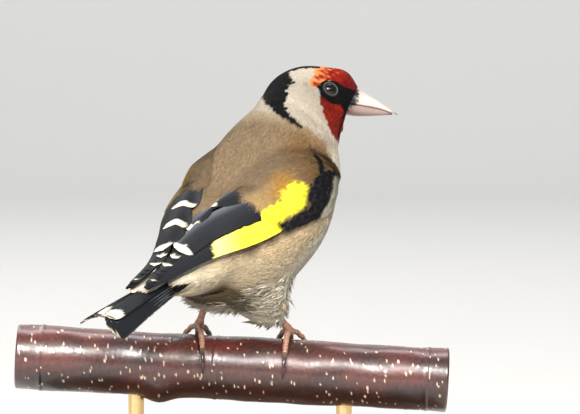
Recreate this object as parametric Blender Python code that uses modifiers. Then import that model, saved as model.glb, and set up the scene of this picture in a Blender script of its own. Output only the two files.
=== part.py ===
"""A European goldfinch gripping a cut length of branch, on a plain display stand.

Life size, still model. Millimetres in the helper functions, metres in the meshes, +Z up.
The origin is the centre of the underside of the round base. The branch runs along X.
The bird stands across it with its back to -Y and its head turned so that the bill
points to +X.
"""
import math

import bmesh
import bpy
import numpy as np

MM = 0.001
GAP = 0.3                      # clearance between neighbouring pieces

# the stand and the branch
BASE_RADIUS = 50.0
BASE_HEIGHT = 8.0
BASE_CHAMFER = 1.2
ROD_RADIUS = 2.0
ROD_X = 26.0
ROD_FOOT = 3.0                 # how far above the floor a rod stops inside the base
ROD_GRIP = 5.0                 # how far a rod reaches into the branch
PERCH_RADIUS = 8.0
PERCH_LEFT = -56.0
PERCH_RIGHT = 52.0
PERCH_SLOPE = math.radians(-3.2)
PERCH_TOP = 45.75              # top of the branch over the middle of the base

# the bird's own frame: x forward, y to its left, z up, set over the branch
BODY_YAW = math.radians(57.0)
BODY_LIFT = 46.0
HEAD_TURN = math.radians(-57.0)
BILL_DROP = math.radians(-3.0)
HEAD_AT = np.array([32.1, 0.0, 57.6])
BLEND = 1.3                    # softness of the joins between the masses, mm
RAY = 27.0                     # longest reach from the spine to the surface
HEAD_RAY = 13.0                # the same inside the head

# the cuts along the spine, as shares of its length
NECK_LOW = 0.66
NECK_HIGH = 0.775
TAIL_PITCH = math.radians(17.8)
TAIL_TIP = np.array([-63.5, -0.3, 6.7])
TAIL_LENGTH = 34.2
TAIL_HALF = (4.7, 5.9)         # half widths where it leaves the coverts and at its tip
TAIL_ROLL = math.radians(16.0)
TAIL_THICK = 1.7
WING_THICK = 1.25
EYE_RADIUS = 2.35
TARSUS = 14.5


def unit(v):
    v = np.asarray(v, float)
    return v / np.linalg.norm(v, axis=-1, keepdims=True)


def turned(yaw, pitch):
    """The forward, left and up directions of a frame turned by yaw and tilted up by pitch."""
    forward = np.array([math.cos(yaw) * math.cos(pitch), math.sin(yaw) * math.cos(pitch), math.sin(pitch)])
    left = np.array([-math.sin(yaw), math.cos(yaw), 0.0])
    return np.array([forward, left, np.cross(forward, left)])


HEAD_FRAME = turned(HEAD_TURN, BILL_DROP)


def on_head(forward, left, up):
    return HEAD_AT + HEAD_FRAME[0] * forward + HEAD_FRAME[1] * left + HEAD_FRAME[2] * up


def along(pitch_degrees):
    return turned(0.0, math.radians(pitch_degrees))


def head_tilt(pitch_degrees):
    return turned(HEAD_TURN, math.radians(pitch_degrees))


# The feathered body is the blend of these masses: centre, frame, radii along, across, up.
MASSES = [
    ("tail_coverts", (-24.0, 0, 17.4), along(18), (12.0, 6.8, 4.0)),
    ("rump", (-14.0, 0, 20.4), along(26), (15.0, 10.6, 6.2)),
    ("low_back", (-12.5, 0, 27.2), along(40), (16.0, 11.0, 6.0)),
    ("belly", (0.0, 0, 24.0), along(36), (21.2, 17.2, 15.0)),
    ("chest", (9.4, 0, 33.0), along(52), (22.0, 18.4, 17.4)),
    ("mantle", (14.5, 0, 42.0), along(56), (17.5, 15.4, 13.4)),
    ("neck", (25.0, -0.8, 49.6), along(56), (12.0, 10.6, 10.4)),
    ("nape", (23.6, 0.6, 53.6), along(45), (8.8, 9.2, 8.2)),
    ("cranium", tuple(on_head(-1.8, 0, 0.0)), HEAD_FRAME, (9.6, 8.2, 8.2)),
    ("forehead", tuple(on_head(4.4, 0, 1.1)), HEAD_FRAME, (7.4, 6.2, 6.6)),
    ("face", tuple(on_head(8.0, 0, 0.3)), head_tilt(-14), (5.4, 3.9, 4.3)),
    ("throat", tuple(on_head(3.0, 0, -4.6)), head_tilt(38), (7.6, 5.4, 4.4)),
    ("cheek_left", tuple(on_head(-0.2, 3.0, -3.0)), HEAD_FRAME, (7.8, 6.0, 6.0)),
    ("cheek_right", tuple(on_head(-0.2, -3.0, -3.0)), HEAD_FRAME, (7.8, 6.0, 6.0)),
    ("thigh_right", (-2.4, -8.9, 11.0), along(-62), (8.4, 4.8, 4.8)),
    ("thigh_left", (-7.6, 5.6, 14.2), along(-70), (6.0, 3.8, 3.8)),
]


def signed_distance(p):
    """Roughly the distance to the blended body: below zero inside."""
    total = 0.0
    for _name, centre, frame, radii in MASSES:
        q = (p - np.array(centre)) @ frame.T
        r = np.array(radii)
        k0 = np.sqrt(((q / r) ** 2).sum(-1)) + 1e-9
        k1 = np.sqrt(((q / r ** 2) ** 2).sum(-1)) + 1e-9
        total = total + np.exp(-np.clip(k0 * (k0 - 1.0) / k1, -40.0, 40.0) / BLEND)
    return -BLEND * np.log(total)


def outward(p):
    step = 1e-3
    here = signed_distance(p)
    slope = [(signed_distance(p + np.eye(3)[i] * step) - here) / step for i in range(3)]
    return unit(np.stack(slope, -1))


# The spine: where it passes, the way it runs there, and the way to the back of the body.
SPINE = [
    ((-29.5, 0, 16.8), (math.cos(0.31), 0, math.sin(0.31)), (-0.3, 0, 1)),
    ((-22, 0, 19.0), (0.93, 0, 0.36), (-0.4, 0, 1)),
    ((-9.5, 0, 22.5), (0.86, 0, 0.5), (-0.55, 0, 1)),
    ((1, 0, 27.5), (0.78, 0, 0.62), (-0.7, 0, 0.8)),
    ((10, 0, 34.5), (0.68, 0, 0.74), (-0.75, 0, 0.7)),
    ((17.5, 0, 42), (0.67, 0, 0.74), (-0.75, 0, 0.66)),
]

# From the neck on it swings about a hinge line outside the throat until it runs to the bill.
TURN_AT = np.array([24.6, 0.0, 49.4])
TURN_FROM = unit([0.69, -0.04, 0.72])
TURN_RADIUS = 14.0
TURN_AXIS = unit(np.cross(TURN_FROM, HEAD_FRAME[0]))
TURN_OUT = np.cross(TURN_FROM, TURN_AXIS)
TURN_ANGLE = math.acos(float(TURN_FROM @ HEAD_FRAME[0]))
for share in (0.0, 0.2, 0.4, 0.6, 0.78):
    angle = TURN_ANGLE * share
    hinge = TURN_AT - TURN_OUT * TURN_RADIUS
    point = hinge + (TURN_OUT * math.cos(angle) + TURN_FROM * math.sin(angle)) * TURN_RADIUS
    onward = TURN_FROM * math.cos(angle) - TURN_OUT * math.sin(angle)
    backward = np.array([-0.7, 0.04, 0.7]) * (1 - share) + np.array([0.0, 0.0, 1.0]) * share
    SPINE.append((tuple(point), tuple(onward), tuple(backward)))
for place, tilt in (((9.1, 0, 0.25), -6), ((10.55, 0, 0.5), -24.2)):
    SPINE.append((tuple(on_head(*place)), tuple(head_tilt(tilt)[0]), (0.0, 0.0, 1.0)))


def through(t, knots, values):
    """A smooth curve through the values given at the knots."""
    values = np.asarray(values, float)
    slope = np.gradient(values, knots, axis=0)
    i = np.clip(np.searchsorted(knots, t, side="right") - 1, 0, len(knots) - 2)
    shape = (-1,) + (1,) * (values.ndim - 1)
    width = (knots[i + 1] - knots[i]).reshape(shape)
    s = (t - knots[i]).reshape(shape) / width
    rise = (2 * s ** 3 - 3 * s ** 2 + 1) * values[i] + (-2 * s ** 3 + 3 * s ** 2) * values[i + 1]
    return rise + (s ** 3 - 2 * s ** 2 + s) * width * slope[i] + (s ** 3 - s ** 2) * width * slope[i + 1]


SPINE_AT = np.array([s[0] for s in SPINE], float)
SPINE_KNOTS = np.concatenate([[0.0], np.cumsum(np.linalg.norm(np.diff(SPINE_AT, axis=0), axis=1))])
SPINE_KNOTS = SPINE_KNOTS / SPINE_KNOTS[-1]


def spine(t):
    """Centres, directions, back directions and left directions at shares t of the spine."""
    t = np.atleast_1d(np.asarray(t, float))
    centre = through(t, SPINE_KNOTS, SPINE_AT)
    ahead = unit(through(t, SPINE_KNOTS, [s[1] for s in SPINE]))
    back = through(t, SPINE_KNOTS, [s[2] for s in SPINE])
    back = unit(back - (back * ahead).sum(1, keepdims=True) * ahead)
    return centre, ahead, back, np.cross(back, ahead)


def ring(centre, back, left, columns, reach_limit=RAY):
    """Points of the body's surface found along rays round each centre."""
    v = np.linspace(0, 2 * math.pi, columns, endpoint=False)
    rays = np.sin(v)[None, :, None] * left[:, None] + np.cos(v)[None, :, None] * back[:, None]
    far = np.full(rays.shape[:2], reach_limit)
    for reach in np.linspace(reach_limit, 0.4, 68):
        outside = signed_distance(centre[:, None] + rays * reach) >= 0
        far = np.where(outside, reach, far)
    near = far - 0.4
    for _ in range(18):
        middle = (near + far) / 2
        inside = signed_distance(centre[:, None] + rays * middle[..., None]) < 0
        near = np.where(inside, middle, near)
        far = np.where(inside, far, middle)
    return centre[:, None] + rays * far[..., None]


def body_rows(start, end, rows, columns, cut_start=False, cut_end=False):
    """Rings from one share of the spine to another; a cut end stands back by half the gap."""
    t = np.linspace(start, end, rows)
    centre, ahead, back, left = spine(t)
    if cut_start:
        centre[0] += ahead[0] * GAP * 0.6
    if cut_end:
        centre[-1] -= ahead[-1] * GAP * 0.6
    return ring(centre, back, left, columns, RAY if start < NECK_HIGH else HEAD_RAY)


def to_world(p):
    p = np.asarray(p, float)
    c, s = math.cos(BODY_YAW), math.sin(BODY_YAW)
    x = p[..., 0] * c - p[..., 1] * s
    y = p[..., 0] * s + p[..., 1] * c
    return np.stack([x, y, p[..., 2] + BODY_LIFT], -1)


def facing_out(verts, faces):
    """Turns every face round where the shape's volume comes out negative."""
    v = np.asarray(verts, float)
    v = v - v.mean(0)
    volume = 0.0
    for face in faces:
        for i in range(1, len(face) - 1):
            volume += np.dot(v[face[0]], np.cross(v[face[i]], v[face[i + 1]]))
    return verts, faces if volume > 0 else [tuple(face[::-1]) for face in faces]


def closed_loft(rows):
    """Vertices and faces of a tube of rings with both ends capped by a fan."""
    n, m = rows.shape[:2]
    verts = [tuple(p) for p in rows.reshape(-1, 3)]
    faces = []
    for i in range(n - 1):
        for j in range(m):
            k = (j + 1) % m
            faces.append((i * m + j, i * m + k, (i + 1) * m + k, (i + 1) * m + j))
    for i, flip in ((0, True), (n - 1, False)):
        hub = len(verts)
        verts.append(tuple(rows[i].mean(0)))
        for j in range(m):
            k = (j + 1) % m
            edge = (i * m + k, i * m + j) if flip else (i * m + j, i * m + k)
            faces.append(edge + (hub,))
    return facing_out(verts, faces)


def slab(top, bottom):
    """Vertices and faces of a thin piece between two grids that share their outline's layout."""
    n, m = top.shape[:2]
    verts = [tuple(p) for p in top.reshape(-1, 3)] + [tuple(p) for p in bottom.reshape(-1, 3)]
    low = n * m
    faces = []
    for i in range(n - 1):
        for j in range(m - 1):
            a, b, c, d = i * m + j, i * m + j + 1, (i + 1) * m + j + 1, (i + 1) * m + j
            faces.append((a, b, c, d))
            faces.append((low + d, low + c, low + b, low + a))
    rim = [i * m for i in range(n)] + [(n - 1) * m + j for j in range(1, m)]
    rim += [i * m + m - 1 for i in range(n - 2, -1, -1)] + [j for j in range(m - 2, 0, -1)]
    for a, b in zip(rim, rim[1:] + rim[:1]):
        faces.append((a, b, low + b, low + a))
    return facing_out(verts, faces)


# Wings: the upper edge over the back and the lower edge along the flank, from bend to tip.
WING_UPPER = [(20.5, 14.4, 39.0), (12, 13.2, 42.0), (2, 11.6, 42.4), (-8, 8.4, 38.6), (-17.5, 4.9, 34.0),
              (-26, 2.5, 27.8), (-34, 1.4, 20.8), (-45.4, 1.7, 15.2)]
WING_LOWER = [(17.0, 17.2, 35.0), (11.0, 18.0, 32.0), (3.5, 18.4, 30.0), (-7.0, 17.4, 27.6), (-17, 13.8, 24.3),
              (-25.6, 9.2, 21.6), (-34.2, 6.0, 18.6), (-46.2, 3.6, 14.6)]
WING_PARTS = (("coverts", 0.0, 0.42, 7), ("secondaries", 0.42, 0.72, 6), ("primaries", 0.72, 1.0, 6))
WING_ACROSS = 8
WING_SWELL = 0.17


def wing_surface(side, t, c):
    """The outer surface of a folded wing at shares t of its length and c of its breadth."""
    knots = np.linspace(0, 1, len(WING_UPPER))
    upper = through(t, knots, WING_UPPER)
    lower = through(t, knots, WING_LOWER)
    p = upper[:, None] * (1 - c)[None, :, None] + lower[:, None] * c[None, :, None]
    breadth = np.linalg.norm(lower - upper, axis=1)
    swell = (4 * c * (1 - c))[None, :] * breadth[:, None] * WING_SWELL
    p = p + swell[..., None] * np.array([0.05, 0.62, 0.78])
    near_edge = wing_edge(t, c)
    for _ in range(8):
        p = p + outward(p) * np.clip(0.45 + (WING_THICK + 0.05) * near_edge - signed_distance(p), 0, 5)[..., None]
    p[..., 1] = p[..., 1] * side
    return p


def wing_edge(t, c):
    """How thick a wing is at shares t and c: less towards its bend and its two long edges."""
    across = np.minimum(1.0, 0.48 + 3.0 * np.minimum(c, 1 - c))[None, :]
    return np.maximum(across * np.minimum(1.0, 0.45 + 1.8 * t)[:, None], 0.42)


def grid_normals(p):
    along_rows = np.gradient(p, axis=0)
    along_columns = np.gradient(p, axis=1)
    return unit(np.cross(along_rows, along_columns))


def wing_pieces(side, name):
    for part, start, end, rows in WING_PARTS:
        t = np.linspace(start + (0.003 if start else 0.0), end - (0.003 if end < 1 else 0.0), rows)
        c = np.linspace(0, 1, WING_ACROSS)
        top = wing_surface(side, t, c)
        normal = grid_normals(top)
        if normal[..., 1].mean() * side < 0:
            normal = -normal
        bottom = top - normal * WING_THICK * wing_edge(t, c)[..., None]
        yield f"wing_{name}_{part}", slab(to_world(top), to_world(bottom))


def tail_point(s, c, drop=2.0):
    """A point on the tail's upper surface: s mm back from its root, c from -1 (right) to 1."""
    share = s / TAIL_LENGTH
    half = TAIL_HALF[0] + (TAIL_HALF[1] - TAIL_HALF[0]) * share
    across = half * c
    sag = -drop * c ** 2 * (0.4 + 0.6 * share)
    back = np.array([-math.cos(TAIL_PITCH), 0, -math.sin(TAIL_PITCH)])
    root = TAIL_TIP - back * TAIL_LENGTH
    up = np.array([-math.sin(TAIL_PITCH), 0, math.cos(TAIL_PITCH)])
    side = np.array([0.0, 1.0, 0.0])
    y = across * math.cos(TAIL_ROLL) - sag * math.sin(TAIL_ROLL)
    z = across * math.sin(TAIL_ROLL) + sag * math.cos(TAIL_ROLL)
    return root + back * s[..., None] + side * y[..., None] + up * z[..., None]


def tail_fork(c):
    """How much farther back the tail reaches at c than at its middle."""
    return 3.6 * np.clip(np.abs(c) / 0.62, 0, 1) ** 1.5 - 1.2 * np.clip((np.abs(c) - 0.62) / 0.38, 0, 1) ** 2


def tail_half(side):
    c = np.linspace(0.02, 1.0, 5) * side
    t = np.linspace(0, 1, 7)[:, None]
    s = t * (TAIL_LENGTH - 2.2 + tail_fork(c)[None, :])
    top = tail_point(s, np.broadcast_to(c, s.shape))
    up = np.array([-math.sin(TAIL_PITCH), 0, math.cos(TAIL_PITCH)])
    thin = TAIL_THICK * (1.0 - 0.35 * t)[..., None] * np.ones_like(top)
    bottom = top - up * thin
    return slab(to_world(top), to_world(bottom))


def covert_leaf(above):
    """The longest feathers over or under the root of the tail, as one thin leaf."""
    c = np.linspace(-1.0, 1.0, 7)
    t = np.linspace(0, 1, 6)[:, None]
    reach = (10.5 if above else 8.0) * (1 - 0.35 * c ** 2)
    s = 0.2 + t * reach
    width = (0.92 if above else 0.72) - 0.25 * t
    base = tail_point(s, c * width)
    up = np.array([-math.sin(TAIL_PITCH), 0, math.cos(TAIL_PITCH)])
    if above:
        bottom = base + up * (GAP + 0.05)
        top = base + up * (GAP + 0.05 + 0.8 * (1 - t) + 0.5)[..., None]
    else:
        top = base - up * (TAIL_THICK + GAP + 0.05)
        bottom = base - up * (TAIL_THICK + GAP + 0.6 + 0.5 * (1 - t))[..., None]
    return slab(to_world(top), to_world(bottom))


# Bill: base sections in the plane where the face ends, drawn out to the tip.
BILL_BASE_TOP = (12.06, 3.95)
BILL_GAPE = (10.35, -0.55)
BILL_BASE_LOW = (9.4, -2.9)
BILL_TIP = (21.8, -2.4)
BILL_HALF = 3.05
BILL_TIP_DEEP = 0.35           # how deep each half still is at its blunt tip


def bill_piece(lower):
    """Half of the conical bill: rings from the base plane to the tip."""
    rows = 9
    columns = 10
    rings = []
    for i in range(rows):
        t = i / (rows - 1)
        fade = 1 - t
        gape = np.array(BILL_GAPE) * fade + np.array(BILL_TIP) * t
        gape = gape + np.array([0.0, 0.55 * math.sin(math.pi * t) * 0.7])
        if lower:
            low_tip = np.array([BILL_TIP[0] - 0.9, BILL_TIP[1] - GAP / 2 - BILL_TIP_DEEP])
            outer = np.array(BILL_BASE_LOW) * fade + low_tip * t
            outer = outer + np.array([0.0, -0.45 * math.sin(math.pi * t ** 0.8)])
            gape = gape + np.array([-0.9 * t, -0.16])
        else:
            high_tip = np.array([BILL_TIP[0], BILL_TIP[1] + GAP / 2 + BILL_TIP_DEEP])
            outer = np.array(BILL_BASE_TOP) * fade + high_tip * t
            outer = outer + np.array([0.08, 0.18]) * math.sin(math.pi * t ** 0.85)
            gape = gape + np.array([0.0, 0.16])
        half = (BILL_HALF - 0.35 * lower) * fade ** 0.9 + 0.28
        points = []
        for j in range(columns):
            if j <= 6:
                a = math.pi * j / 6
                f, u = gape + (outer - gape) * math.sin(a) ** 0.85 if 0 < j < 6 else gape
                points.append(on_head(f, half * math.cos(a), u))
            else:
                k = (j - 6) / 4
                points.append(on_head(gape[0], half * (-1 + 2 * k), gape[1]))
        rings.append(points)
    p = np.array(rings)
    return closed_loft(to_world(p))


def perch_frame():
    c, s = math.cos(PERCH_SLOPE), math.sin(PERCH_SLOPE)
    axis = np.array([c, 0, s])
    up = np.array([-s, 0, c])
    return axis, up, np.array([0.0, 1.0, 0.0])


def perch_radius(a, phi):
    """The branch's radius a mm along it, phi round it from the top towards +Y."""
    swell = 0.14 * np.sin(a * 0.11 + 0.6) + 0.08 * np.sin(a * 0.37 + 2 * phi)
    knot = 1.75 * np.exp(-((a + 20.0) / 4.2) ** 2) * np.clip(-np.cos(phi - 0.25), 0, 1) ** 3
    return PERCH_RADIUS + swell + knot


def on_perch(a, phi, height=0.0):
    """A point a mm along the branch, phi round from its top, height above its bark."""
    axis, up, far = perch_frame()
    a, phi, height = np.broadcast_arrays(np.asarray(a, float), np.asarray(phi, float), np.asarray(height, float))
    r = perch_radius(a, phi) + height
    middle = np.array([0, 0, PERCH_TOP - PERCH_RADIUS / math.cos(PERCH_SLOPE)])
    return middle + axis * a[..., None] + up * (r * np.cos(phi))[..., None] + far * (r * np.sin(phi))[..., None]


def perch_solid():
    columns = 24
    stations = np.concatenate([[PERCH_LEFT], np.linspace(PERCH_LEFT + 4, -30, 5), np.linspace(-26, -14, 6),
                               np.linspace(-8, PERCH_RIGHT - 4, 9), [PERCH_RIGHT]])
    phi = np.linspace(0, 2 * math.pi, columns, endpoint=False)
    return closed_loft(on_perch(stations[:, None], phi[None, :]))


# Feet: where each stands along the branch, and the way its toes point seen from above,
# as angles from +X: inner, middle, outer toe, then the hind toe.
FEET = {
    "right": {"at": (11.6, -0.5), "toes": (115, 83, 50, -96), "heel": (-9.0, 3.0, 11.0)},
    "left": {"at": (-10.9, -0.5), "toes": (61, 93, 125, -78), "heel": (-3.0, -6.5, 12.6)},
}
TOE_LENGTH = (7.6, 10.8, 8.0, 6.0)
TOE_RADIUS = (0.62, 0.68, 0.60, 0.68)
CLAW_LENGTH = (4.0, 4.6, 4.0, 6.6)
TOE_START = 2.3
FOOT_HEIGHT = 2.45             # centre of the ball of the foot above the bark


def toe_path(foot, k, steps):
    """Points of a toe from beside the ball of the foot down over the branch."""
    x, y = foot["at"]
    angle = math.radians(foot["toes"][k])
    s = np.linspace(TOE_START, TOE_START + TOE_LENGTH[k], steps)
    share = (s - s[0]) / (s[-1] - s[0])
    height = GAP + TOE_RADIUS[k] + 0.15 + 1.0 * (1 - share) ** 2
    knuckle = 0.22 * np.sin(share * math.pi * 3) ** 2
    a = x + s * math.cos(angle) * (1 - 0.25 * share)
    phi = (y + s * math.sin(angle)) / (PERCH_RADIUS + 0.8)
    return on_perch(a, phi, height + knuckle), a[-1], phi[-1], height[-1]


def toe_radii(k, steps):
    share = np.linspace(0, 1, steps)
    begin = 1.0 - 0.2 * np.clip(1 - share / 0.15, 0, 1)
    return TOE_RADIUS[k] * begin * (1.0 - 0.2 * share + 0.06 * np.sin(share * math.pi * 3) ** 2)


def claw_path(foot, k, steps):
    """A claw that arches from the end of a toe and comes down to the bark."""
    _, a_end, phi_end, height = toe_path(foot, k, 10)
    angle = math.radians(foot["toes"][k])
    turn = math.copysign(1.0, math.sin(angle))
    s = np.linspace(0.62, CLAW_LENGTH[k], steps)
    share = (s - s[0]) / (s[-1] - s[0])
    a = a_end + s * math.cos(angle) * 0.35
    phi = phi_end + turn * s / (PERCH_RADIUS + 1.2)
    rise = height + 0.75 * np.sin(share * math.pi * 0.9) * (CLAW_LENGTH[k] / 5.0) - 0.28 * share
    return on_perch(a, phi, rise)


def claw_radii(k, steps):
    share = np.linspace(0, 1, steps)
    return 0.46 * (1 - share) ** 0.75 + 0.12


def leg_path(name):
    """The bare tarsus from the feathers of the thigh down to the ball of the foot."""
    foot = FEET[name]
    x, y = foot["at"]
    ball = on_perch(x, y / PERCH_RADIUS, FOOT_HEIGHT)
    offset = unit(np.array(foot["heel"])) * TARSUS
    c, s = math.cos(BODY_YAW), math.sin(BODY_YAW)
    offset = np.array([offset[0] * c - offset[1] * s, offset[0] * s + offset[1] * c, offset[2]])
    heel = ball + offset
    share = np.linspace(0, 1, 60)
    line = ball[None] * (1 - share)[:, None] + heel[None] * share[:, None]
    clear = signed_distance(to_bird(line))
    last = share[clear > 0.95].max()
    share = np.linspace(0.0, last, 7)
    shape = ball[None] * (1 - share)[:, None] + heel[None] * share[:, None]
    foot_end = np.array([ball - unit(offset) * 0.9 + np.array([0, 0, -0.1])])
    return np.concatenate([foot_end, shape]), np.concatenate([[0.8, 1.25, 0.95], [0.76] * 4, [0.86]])


def to_bird(p):
    p = np.asarray(p, float)
    c, s = math.cos(BODY_YAW), math.sin(BODY_YAW)
    return np.stack([p[..., 0] * c + p[..., 1] * s, -p[..., 0] * s + p[..., 1] * c, p[..., 2] - BODY_LIFT], -1)


COLOURS = {
    "cream": (0.80, 0.74, 0.64, 0.85, 0.0),
    "brown": (0.42, 0.30, 0.20, 0.85, 0.0),
    "black": (0.03, 0.03, 0.035, 0.6, 0.0),
    "yellow": (0.90, 0.72, 0.03, 0.7, 0.0),
    "horn": (0.78, 0.66, 0.58, 0.4, 0.0),
    "leg": (0.42, 0.26, 0.20, 0.5, 0.0),
    "claw": (0.10, 0.08, 0.07, 0.4, 0.0),
    "eye": (0.01, 0.008, 0.006, 0.08, 0.0),
    "bark": (0.14, 0.05, 0.035, 0.35, 0.0),
    "wood": (0.20, 0.12, 0.07, 0.5, 0.0),
    "brass": (0.80, 0.60, 0.30, 0.3, 1.0),
}


def material(name):
    found = bpy.data.materials.get(name)
    if found:
        return found
    red, green, blue, roughness, metallic = COLOURS[name]
    made = bpy.data.materials.new(name)
    made.use_nodes = True
    shader = made.node_tree.nodes["Principled BSDF"]
    shader.inputs["Base Color"].default_value = (red, green, blue, 1.0)
    shader.inputs["Roughness"].default_value = roughness
    shader.inputs["Metallic"].default_value = metallic
    return made


def collection(name):
    made = bpy.data.collections.new(name)
    bpy.context.scene.collection.children.link(made)
    return made


def solid(name, verts, faces, kind, where, smooth=True):
    mesh = bpy.data.meshes.new(name)
    mesh.from_pydata([tuple(c * MM for c in v) for v in verts], [], faces)
    mesh.validate()
    if smooth:
        mesh.shade_smooth()
        mesh.set_sharp_from_angle(angle=math.radians(50))
    mesh.materials.append(material(kind))
    made = bpy.data.objects.new(name, mesh)
    where.objects.link(made)
    return made


def tube(name, points, radii, kind, where, resolution=1):
    """A tapering tube through the points, as a curve with a bevel, then a closed mesh."""
    curve = bpy.data.curves.new(name + "_path", "CURVE")
    curve.dimensions = "3D"
    curve.bevel_depth = MM
    curve.bevel_resolution = resolution
    curve.use_fill_caps = True
    line = curve.splines.new("POLY")
    line.points.add(len(points) - 1)
    for item, point, radius in zip(line.points, points, radii):
        item.co = (*(c * MM for c in point), 1.0)
        item.radius = radius
    guide = bpy.data.objects.new(name + "_path", curve)
    where.objects.link(guide)
    bpy.context.view_layer.update()
    evaluated = guide.evaluated_get(bpy.context.evaluated_depsgraph_get())
    mesh = bpy.data.meshes.new_from_object(evaluated)
    mesh.name = name
    shape = bmesh.new()
    shape.from_mesh(mesh)
    bmesh.ops.remove_doubles(shape, verts=shape.verts, dist=1e-6)
    bmesh.ops.recalc_face_normals(shape, faces=shape.faces)
    shape.to_mesh(mesh)
    shape.free()
    made = bpy.data.objects.new(name, mesh)
    made.matrix_world = guide.matrix_world
    mesh.materials.clear()
    mesh.materials.append(material(kind))
    mesh.shade_smooth()
    where.objects.link(made)
    bpy.data.objects.remove(guide)
    return made


def cylinder(name, radius, bottom, top, x, kind, where, sides=24):
    bpy.ops.mesh.primitive_cylinder_add(vertices=sides, radius=radius * MM, depth=(top - bottom) * MM,
                                        location=(x * MM, 0, (bottom + top) / 2 * MM))
    made = bpy.context.active_object
    made.name = name
    for owner in list(made.users_collection):
        owner.objects.unlink(made)
    where.objects.link(made)
    if kind:
        made.data.materials.append(material(kind))
    return made


def ball(name, radius, centre, kind, where, segments=16, rings=10, turn=None):
    bpy.ops.mesh.primitive_uv_sphere_add(segments=segments, ring_count=rings, radius=radius * MM,
                                         location=tuple(c * MM for c in centre))
    made = bpy.context.active_object
    made.name = name
    if turn is not None:
        made.rotation_euler = turn
    for owner in list(made.users_collection):
        owner.objects.unlink(made)
    where.objects.link(made)
    if kind:
        made.data.materials.append(material(kind))
        made.data.shade_smooth()
    return made


def cut(target, cutter):
    cutter.hide_render = True
    cutter.display_type = "WIRE"
    step = target.modifiers.new("cut_" + cutter.name, "BOOLEAN")
    step.operation = "DIFFERENCE"
    step.solver = "EXACT"
    step.object = cutter


def eye_centre(side):
    """An eye's centre in the head, so that it stands 0.85 mm out of the feathers."""
    reach = np.linspace(2.0, 9.0, 400)
    line = np.stack([on_head(5.0, side * r, 3.05) for r in reach])
    surface = reach[signed_distance(line) < 0].max()
    return on_head(5.0, side * (surface + 0.7 - EYE_RADIUS), 3.05)


def build():
    for existing in list(bpy.data.objects):
        bpy.data.objects.remove(existing)
    bird = collection("european_goldfinch")
    cutters = collection("cutters")

    solid("trunk", *closed_loft(to_world(body_rows(0.0, NECK_LOW, 25, 30, False, True))), "cream", bird)
    solid("neck", *closed_loft(to_world(body_rows(NECK_LOW, NECK_HIGH, 5, 28, True, True))), "brown", bird)
    head = solid("head", *closed_loft(to_world(body_rows(NECK_HIGH, 1.0, 13, 30, True, False))), "cream", bird)
    for name, side in (("left", 1), ("right", -1)):
        centre = to_world(eye_centre(side))
        ball(f"eye_{name}", EYE_RADIUS, centre, "eye", bird)
        cut(head, ball(f"eye_{name}_socket", EYE_RADIUS + GAP, centre, None, cutters, 18, 12))
    solid("bill_upper", *bill_piece(False), "horn", bird)
    solid("bill_lower", *bill_piece(True), "horn", bird)

    for name, side in (("left", 1), ("right", -1)):
        for part, shape in wing_pieces(side, name):
            solid(part, *shape, "black", bird)
        solid(f"tail_{name}", *tail_half(side), "black", bird)
    solid("uppertail_coverts", *covert_leaf(True), "cream", bird)
    solid("undertail_coverts", *covert_leaf(False), "cream", bird)

    for name, foot in FEET.items():
        points, radii = leg_path(name)
        tube(f"leg_{name}", points, radii, "leg", bird)
        for k, toe in enumerate(("inner", "middle", "outer", "hind")):
            path = toe_path(foot, k, 8)[0]
            tube(f"toe_{name}_{toe}", path, toe_radii(k, 8), "leg", bird)
            tube(f"claw_{name}_{toe}", claw_path(foot, k, 6), claw_radii(k, 6), "claw", bird)

    perch = solid("perch", *perch_solid(), "bark", bird)
    base = cylinder("stand_base", BASE_RADIUS, 0, BASE_HEIGHT, 0, "wood", bird, 64)
    edge = base.modifiers.new("rounded_edge", "BEVEL")
    edge.width = BASE_CHAMFER * MM
    edge.segments = 2
    edge.limit_method = "ANGLE"
    axis, up, _ = perch_frame()
    for name, x in (("left", -ROD_X), ("right", ROD_X)):
        underside = PERCH_TOP + x * math.tan(PERCH_SLOPE) - 2 * PERCH_RADIUS
        top = underside + ROD_GRIP
        cylinder(f"stand_rod_{name}", ROD_RADIUS, ROD_FOOT, top, x, "brass", bird)
        hole = cylinder(f"rod_{name}_socket", ROD_RADIUS + GAP, underside - 6, top + GAP, x, None, cutters)
        cut(perch, hole)
        seat = cylinder(f"rod_{name}_seat", ROD_RADIUS + GAP, ROD_FOOT - GAP, BASE_HEIGHT + 4, x, None, cutters)
        cut(base, seat)


build()
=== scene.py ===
"""The looks of a European goldfinch that grips a cut length of cherry branch on a display stand.

Helper functions work in millimetres. The bird has a frame of its own, x forward, y to its left,
z up, and to_world turns it over the branch. Meshes are in metres, in the frame of the solids.
"""
import math

import bpy
import numpy as np
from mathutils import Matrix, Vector


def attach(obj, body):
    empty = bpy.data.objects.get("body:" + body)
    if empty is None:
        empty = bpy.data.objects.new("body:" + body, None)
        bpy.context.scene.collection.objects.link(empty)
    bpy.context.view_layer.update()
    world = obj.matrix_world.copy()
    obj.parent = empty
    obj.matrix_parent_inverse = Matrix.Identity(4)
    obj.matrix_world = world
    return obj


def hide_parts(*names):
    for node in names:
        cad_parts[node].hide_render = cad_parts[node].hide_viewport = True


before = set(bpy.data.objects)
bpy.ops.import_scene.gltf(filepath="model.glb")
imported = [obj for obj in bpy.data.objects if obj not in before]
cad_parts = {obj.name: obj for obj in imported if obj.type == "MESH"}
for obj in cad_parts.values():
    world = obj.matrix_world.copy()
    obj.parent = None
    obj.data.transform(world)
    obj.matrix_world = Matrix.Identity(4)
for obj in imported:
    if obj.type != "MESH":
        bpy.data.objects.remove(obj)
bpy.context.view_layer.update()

MM = 0.001
SIDEWAYS = np.array([0.0, 1.0, 0.0])

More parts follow.
